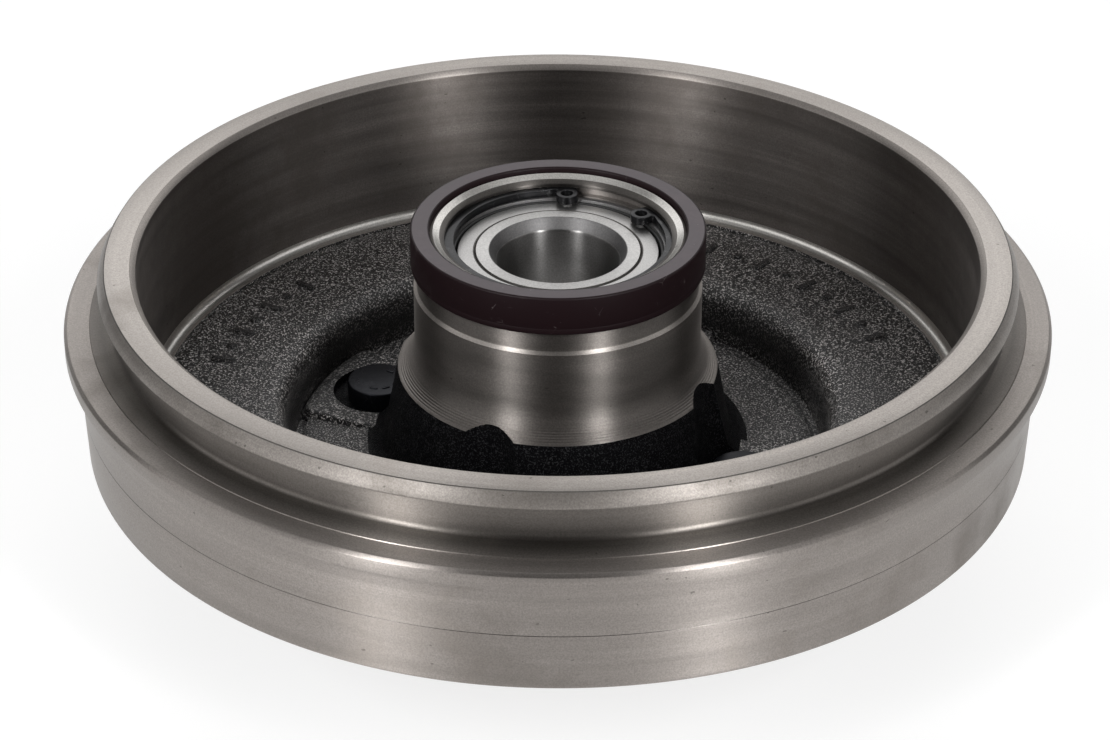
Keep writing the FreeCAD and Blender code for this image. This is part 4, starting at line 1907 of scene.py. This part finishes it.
@dataclass
class WheelBearing(SubAssembly):
    """The sealed double-row ball bearing: rings, shields, seals, balls and cages."""

    outer: Reach = field(default_factory=lambda: Reach.of("bearing_outer_ring"))
    inner: Reach = field(default_factory=lambda: Reach.of("inner_ring_inboard"))
    shield: Reach = field(default_factory=lambda: Reach.of("flinger_inboard"))
    seal: Reach = field(default_factory=lambda: Reach.of("seal_inboard"))
    ball: tuple[Vector, Vector] = field(default_factory=lambda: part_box("ball_12_inboard"))
    bore_r: float = 15.0
    lead_in_width: float = 1.65
    lead_in_height: float = 2.95
    pitch_r: float = 21.3
    race_clearance: float = 0.15
    shoulder_deep: float = 2.95
    shoulder_shallow: float = 1.2
    outer_bevel: float = 0.8
    balls: int = 12
    sheet: float = 0.7
    bend: float = 0.5
    lip_gap: float = 0.3

    @property
    def middle(self) -> float:
        """Level of the bearing's middle plane."""
        return (self.outer.low + self.outer.high) / 2

    @property
    def ball_r(self) -> float:
        """Radius of a ball."""
        return (self.ball[1].z - self.ball[0].z) / 2 / MM

    @property
    def row(self) -> float:
        """Level of the inboard ball row."""
        return (self.ball[1].z + self.ball[0].z) / 2 / MM

    @property
    def race_r(self) -> float:
        """Radius of the ball tracks across the groove."""
        return self.ball_r + self.race_clearance

    @property
    def land_r(self) -> float:
        """Radius of the inner rings' high shoulder, where the shields sit."""
        return self.pitch_r - self.race_r + self.shoulder_deep

    def _race(self, s: HalfSection, begin_r: float, end_r: float, inboard: bool, rising: bool) -> None:
        """Adds a ball track between two shoulders.

        Args:
            s: the half section.
            begin_r: radius of the shoulder where the track begins.
            end_r: radius of the shoulder where it ends.
            inboard: whether it is the inboard row's.
            rising: whether the outline goes up there.
        """
        level = self.row if inboard else 2 * self.middle - self.row
        begin, end = (math.sqrt(self.race_r**2 - (r - self.pitch_r) ** 2) for r in (begin_r, end_r))
        way = 1 if rising else -1
        s.to(begin_r, level - way * begin)
        s.arc((self.pitch_r, level), end_r, level + way * end, steps=10)

    def _mirror(self, mesh: bpy.types.Mesh) -> bpy.types.Mesh:
        """The same piece at the other end of the bearing.

        Args:
            mesh: the inboard piece.

        Returns:
            The outboard piece.
        """
        copy = mesh.copy()
        plane = Matrix.Translation((0, 0, self.middle * MM))
        copy.transform(plane @ Matrix.Scale(-1, 4, (0, 0, 1)) @ plane.inverted())
        return tidy(copy)

    def _pair(self, name: str, mesh: bpy.types.Mesh, body: Body, slot: Slot, node: str) -> None:
        """Settles a piece and its mirror image.

        Args:
            name: the pieces' name without its side.
            mesh: the inboard mesh.
            body: the body both ride on.
            slot: their slot.
            node: the CAD nodes' name without its side.
        """
        for side, shape in ((Side.INBOARD, mesh), (Side.OUTBOARD, self._mirror(mesh))):
            settle(f"{name}_{side.value}", shape, body, slot, f"{node}_{side.value}")

    def _outer_ring(self) -> None:
        """Turns the outer ring."""
        shoulder = self.pitch_r + self.race_r
        deep_r, shallow_r = shoulder - self.shoulder_deep, shoulder - self.shoulder_shallow
        r, low, high, bevel = self.outer.r, self.outer.low, self.outer.high, self.outer_bevel
        bore, seat = self.seal.r, self.seal.low
        s = HalfSection(bore, low, 0, 0.2)
        s.line(0, (r - bevel, low, 0.15), (r, low + bevel, 0.15))
        s.line(0, (r, high - bevel, 0.15), (r - bevel, high, 0.15))
        s.line(0, (bore, high, 0.25), (bore, seat), (shallow_r, seat))
        self._race(s, shallow_r, deep_r, inboard=True, rising=False)
        self._race(s, deep_r, shallow_r, inboard=False, rising=False)
        s.line(0, (shallow_r, 2 * self.middle - seat), (bore, 2 * self.middle - seat))
        mesh = revolve("outer_ring", s, self.shelf.several(Finish.LEAD_IN))
        settle("outer_ring", mesh, Body.DRUM, Slot.BEARING, "bearing_outer_ring")

    def _inner_rings(self) -> None:
        """Turns the two inner rings with their lead-in bevels."""
        shallow_r, top = self.pitch_r - self.race_r + self.shoulder_shallow, self.inner.high
        s = HalfSection(self.bore_r, self.middle, 1, 0.2).to(shallow_r, self.middle)
        self._race(s, shallow_r, self.land_r, inboard=True, rising=True)
        s.to(self.land_r, top - 0.3).to(self.land_r - 0.28, top, 3)
        s.to(self.bore_r + self.lead_in_width, top, 0, 0.18)
        s.to(self.bore_r, top - self.lead_in_height, 2, 0.3)
        finishes = self.shelf.several(Finish.GROUND, Finish.BORE, Finish.LEAD_IN, Finish.EDGE_SHADE)
        mesh = revolve("inner_ring", s, finishes)
        self._pair("race_ring", mesh, Body.INNER_RACE, Slot.BEARING, "inner_ring")

    def _shields(self) -> None:
        """Presses the two shields, L-shaped with a rounded bend."""
        foot, sheet, bend = self.land_r, self.sheet, self.bend
        top, low, r = self.shield.high, self.shield.low, self.shield.r
        s = HalfSection(foot, low, 0, 0.08)
        s.line(0, (foot + sheet, low, 0.08), (foot + sheet, top - sheet, 0.15), (r, top - sheet, 0.15))
        # The shield's bend takes the dark band, painted shade of the gap beside the inner ring.
        s.line(0, (r, top, 0.22), (foot + bend, top)).quarter(foot, top - bend, 1, 5)
        mesh = revolve("shield", s, self.shelf.several(Finish.SHIELD, Finish.EDGE_SHADE))
        self._pair("shield", mesh, Body.INNER_RACE, Slot.SHIELD, "flinger")

    def _seals(self) -> None:
        """Moulds the two seals with their lips."""
        lip, sheet = self.land_r + self.sheet + self.lip_gap, self.sheet
        low, high, r = self.seal.low, self.seal.high, self.seal.r
        s = HalfSection(lip, low + 0.25, 0, 0.1)
        s.line(0, (lip + 0.6, low, 0.1), (r, low, 0.1), (r, high, 0.2), (r - sheet, high, 0.25))
        s.line(0, (r - sheet, low + sheet, 0.3), (lip + 1.4, low + sheet, 0.1))
        s.line(0, (lip + 0.9, low + sheet + 0.5, 0.1), (lip, low + sheet, 0.1))
        mesh = revolve("seal", s, self.shelf.several(Finish.RUBBER))
        self._pair("seal_lip", mesh, Body.DRUM, Slot.RUBBER, "seal")

    def _row(self, side: Side, body: Body, level: float) -> None:
        """Sets a row of balls, and dresses its cage.

        Args:
            side: the row's side.
            body: the row's body.
            level: its level.
        """
        work = bmesh.new()
        bmesh.ops.create_icosphere(work, subdivisions=4, radius=self.ball_r * MM)
        bmesh.ops.translate(work, verts=work.verts, vec=(0, 0, level * MM))
        one = bpy.data.meshes.new("ball")
        work.to_mesh(one)
        work.free()
        name = f"balls_{side.value}"
        balls = self.pattern.make(name, one, self.balls, self.pitch_r, self.shelf.get(Finish.BALL))
        balls.shade_smooth()
        settle(name, balls, body, Slot.BALL, *(f"ball_{i + 1:02d}_{side.value}" for i in range(self.balls)))
        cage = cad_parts[f"cage_{side.value}"]
        cage.data.materials.clear()
        cage.data.materials.append(self.shelf.get(Finish.CAGE))
        log.info("%s: carried over", cage.name)

    def build(self) -> None:
        """Builds every piece of the bearing."""
        self._outer_ring()
        self._inner_rings()
        self._shields()
        self._seals()
        self._row(Side.INBOARD, Body.ROW_INBOARD, self.row)
        self._row(Side.OUTBOARD, Body.ROW_OUTBOARD, 2 * self.middle - self.row)


# Studio


@dataclass(frozen=True)
class SoftBox:
    """A rectangular lamp that faces the object. Its azimuth is taken from the camera's side."""

    name: str
    azimuth: float
    elevation: float
    distance: float
    width: float
    height: float
    radiance: float


@dataclass
class Studio:
    """The plain floor and light, and the photograph's camera."""

    photo_width: int = 1110
    photo_height: int = 740
    focal_px: float = 3230.0
    rim_centre_x: float = 558.09
    rim_centre_y: float = 250.97
    rim_level: float = 60.5
    azimuth: float = 24.5
    elevation: float = 28.573
    distance: float = 781.2
    roll: float = 0.216
    sensor: float = 36.0
    floor_size: float = 12.0
    floor_colour: Colour = (0.40, 0.40, 0.40)
    floor_glow: float = 0.66
    sky_level: float = 0.08
    boxes: tuple[SoftBox, ...] = (
        SoftBox("strip_left", -37.0, 24.0, 1.5, 0.19, 1.2, 22.0),
        SoftBox("strip_right", 33.0, 24.0, 1.5, 0.19, 1.2, 23.0),
        SoftBox("side_left", -76.0, 26.0, 1.6, 1.3, 1.0, 1.3),
        SoftBox("side_right", 76.0, 26.0, 1.6, 1.3, 1.0, 1.1),
        SoftBox("back", 180.0, 36.0, 1.7, 2.4, 1.2, 1.5),
        SoftBox("top", 180.0, 84.0, 1.6, 1.6, 1.6, 0.5),
    )

    def camera(self) -> None:
        """Stands the camera where the photograph was taken."""
        tilt = math.radians(self.elevation)
        back = Vector((0.0, -math.cos(tilt), math.sin(tilt)))
        right = Vector((1.0, 0.0, 0.0))
        view = Matrix((right, right.cross(-back), -back))
        seen_x = (self.rim_centre_x - self.photo_width / 2) / self.focal_px
        seen_y = (self.photo_height / 2 - self.rim_centre_y) / self.focal_px
        seen = Vector((seen_x, seen_y, 1.0)).normalized()
        aim = Vector((0.0, 0.0, 1.0)).rotation_difference(seen).to_matrix()
        turn = Matrix.Rotation(math.radians(self.azimuth), 3, "Z")
        rows = aim @ Matrix.Rotation(-math.radians(self.roll), 3, "Z") @ view @ turn.transposed()
        facing = Matrix((rows[0], rows[1], -rows[2])).transposed()
        data = bpy.data.cameras.new("camera")
        data.sensor_width = self.sensor
        data.lens = self.focal_px * self.sensor / self.photo_width
        data.clip_start, data.clip_end = 0.01, 50.0
        camera = placed("camera", data)
        place = Matrix.Translation(turn @ back * self.distance * MM + Vector((0, 0, self.rim_level * MM)))
        camera.matrix_world = place @ facing.to_4x4()
        bpy.context.scene.camera = camera

    def floor(self) -> None:
        """Lays the pale floor under the object, white to camera, glossy and glass rays."""
        half, level = self.floor_size / 2, CAD_BOX[0].z
        mesh = bpy.data.meshes.new("floor")
        corners = [(x * half, y * half, level) for x, y in ((-1, -1), (1, -1), (1, 1), (-1, 1))]
        mesh.from_pydata(corners, [], [(0, 1, 2, 3)])
        material = bpy.data.materials.new("studio_floor")
        material.use_nodes = True
        bench = NodeBench(material.node_tree)
        path = bench.add("ShaderNodeLightPath").outputs
        mirror = bench.math("MAXIMUM", path["Is Glossy Ray"], path["Is Transmission Ray"])
        seen = bench.math("MAXIMUM", path["Is Camera Ray"], mirror)
        shader = material.node_tree.nodes["Principled BSDF"]
        for socket, value in (
            ("Base Color", (*self.floor_colour, 1.0)),
            ("Roughness", 0.9),
            ("Specular IOR Level", 0.0),
            ("Emission Color", WHITE),
            ("Emission Strength", bench.times(seen, self.floor_glow)),
        ):
            bench.feed(shader.inputs[socket], value)
        mesh.materials.append(material)
        placed("floor", mesh)

    def sky(self) -> None:
        """Sets an even surround."""
        world = bpy.data.worlds.new("surround")
        world.use_nodes = True
        background = world.node_tree.nodes["Background"]
        background.inputs["Color"].default_value = WHITE
        background.inputs["Strength"].default_value = self.sky_level
        bpy.context.scene.world = world

    def lamps(self) -> None:
        """Hangs the soft boxes."""
        for box in self.boxes:
            data = bpy.data.lights.new(box.name, "AREA")
            data.shape = "RECTANGLE"
            data.size, data.size_y = box.width, box.height
            data.energy = box.radiance * math.pi * box.width * box.height
            lamp = placed(box.name, data)
            turn, tilt = math.radians(self.azimuth + box.azimuth - 90.0), math.radians(box.elevation)
            away = polar(math.cos(tilt), turn, math.sin(tilt))
            lamp.location = away * box.distance
            lamp.rotation_euler = away.to_track_quat("Z", "Y").to_euler()
            lamp.visible_camera = False

    def build(self) -> None:
        """Sets up the whole studio."""
        self.floor()
        self.sky()
        self.lamps()
        self.camera()
        bpy.context.scene.view_settings.view_transform = "Standard"


def main() -> None:
    """Builds the assembly and its studio."""
    logging.basicConfig(level=logging.INFO, format="%(message)s")
    shelf, pattern = FinishShelf(), RoundPattern()
    for kind in (DrumCasting, CastMarks, WheelStuds, EncoderRing, Circlip, WheelBearing):
        kind(shelf, pattern).build()
    Studio().build()


if __name__ == "__main__":
    main()
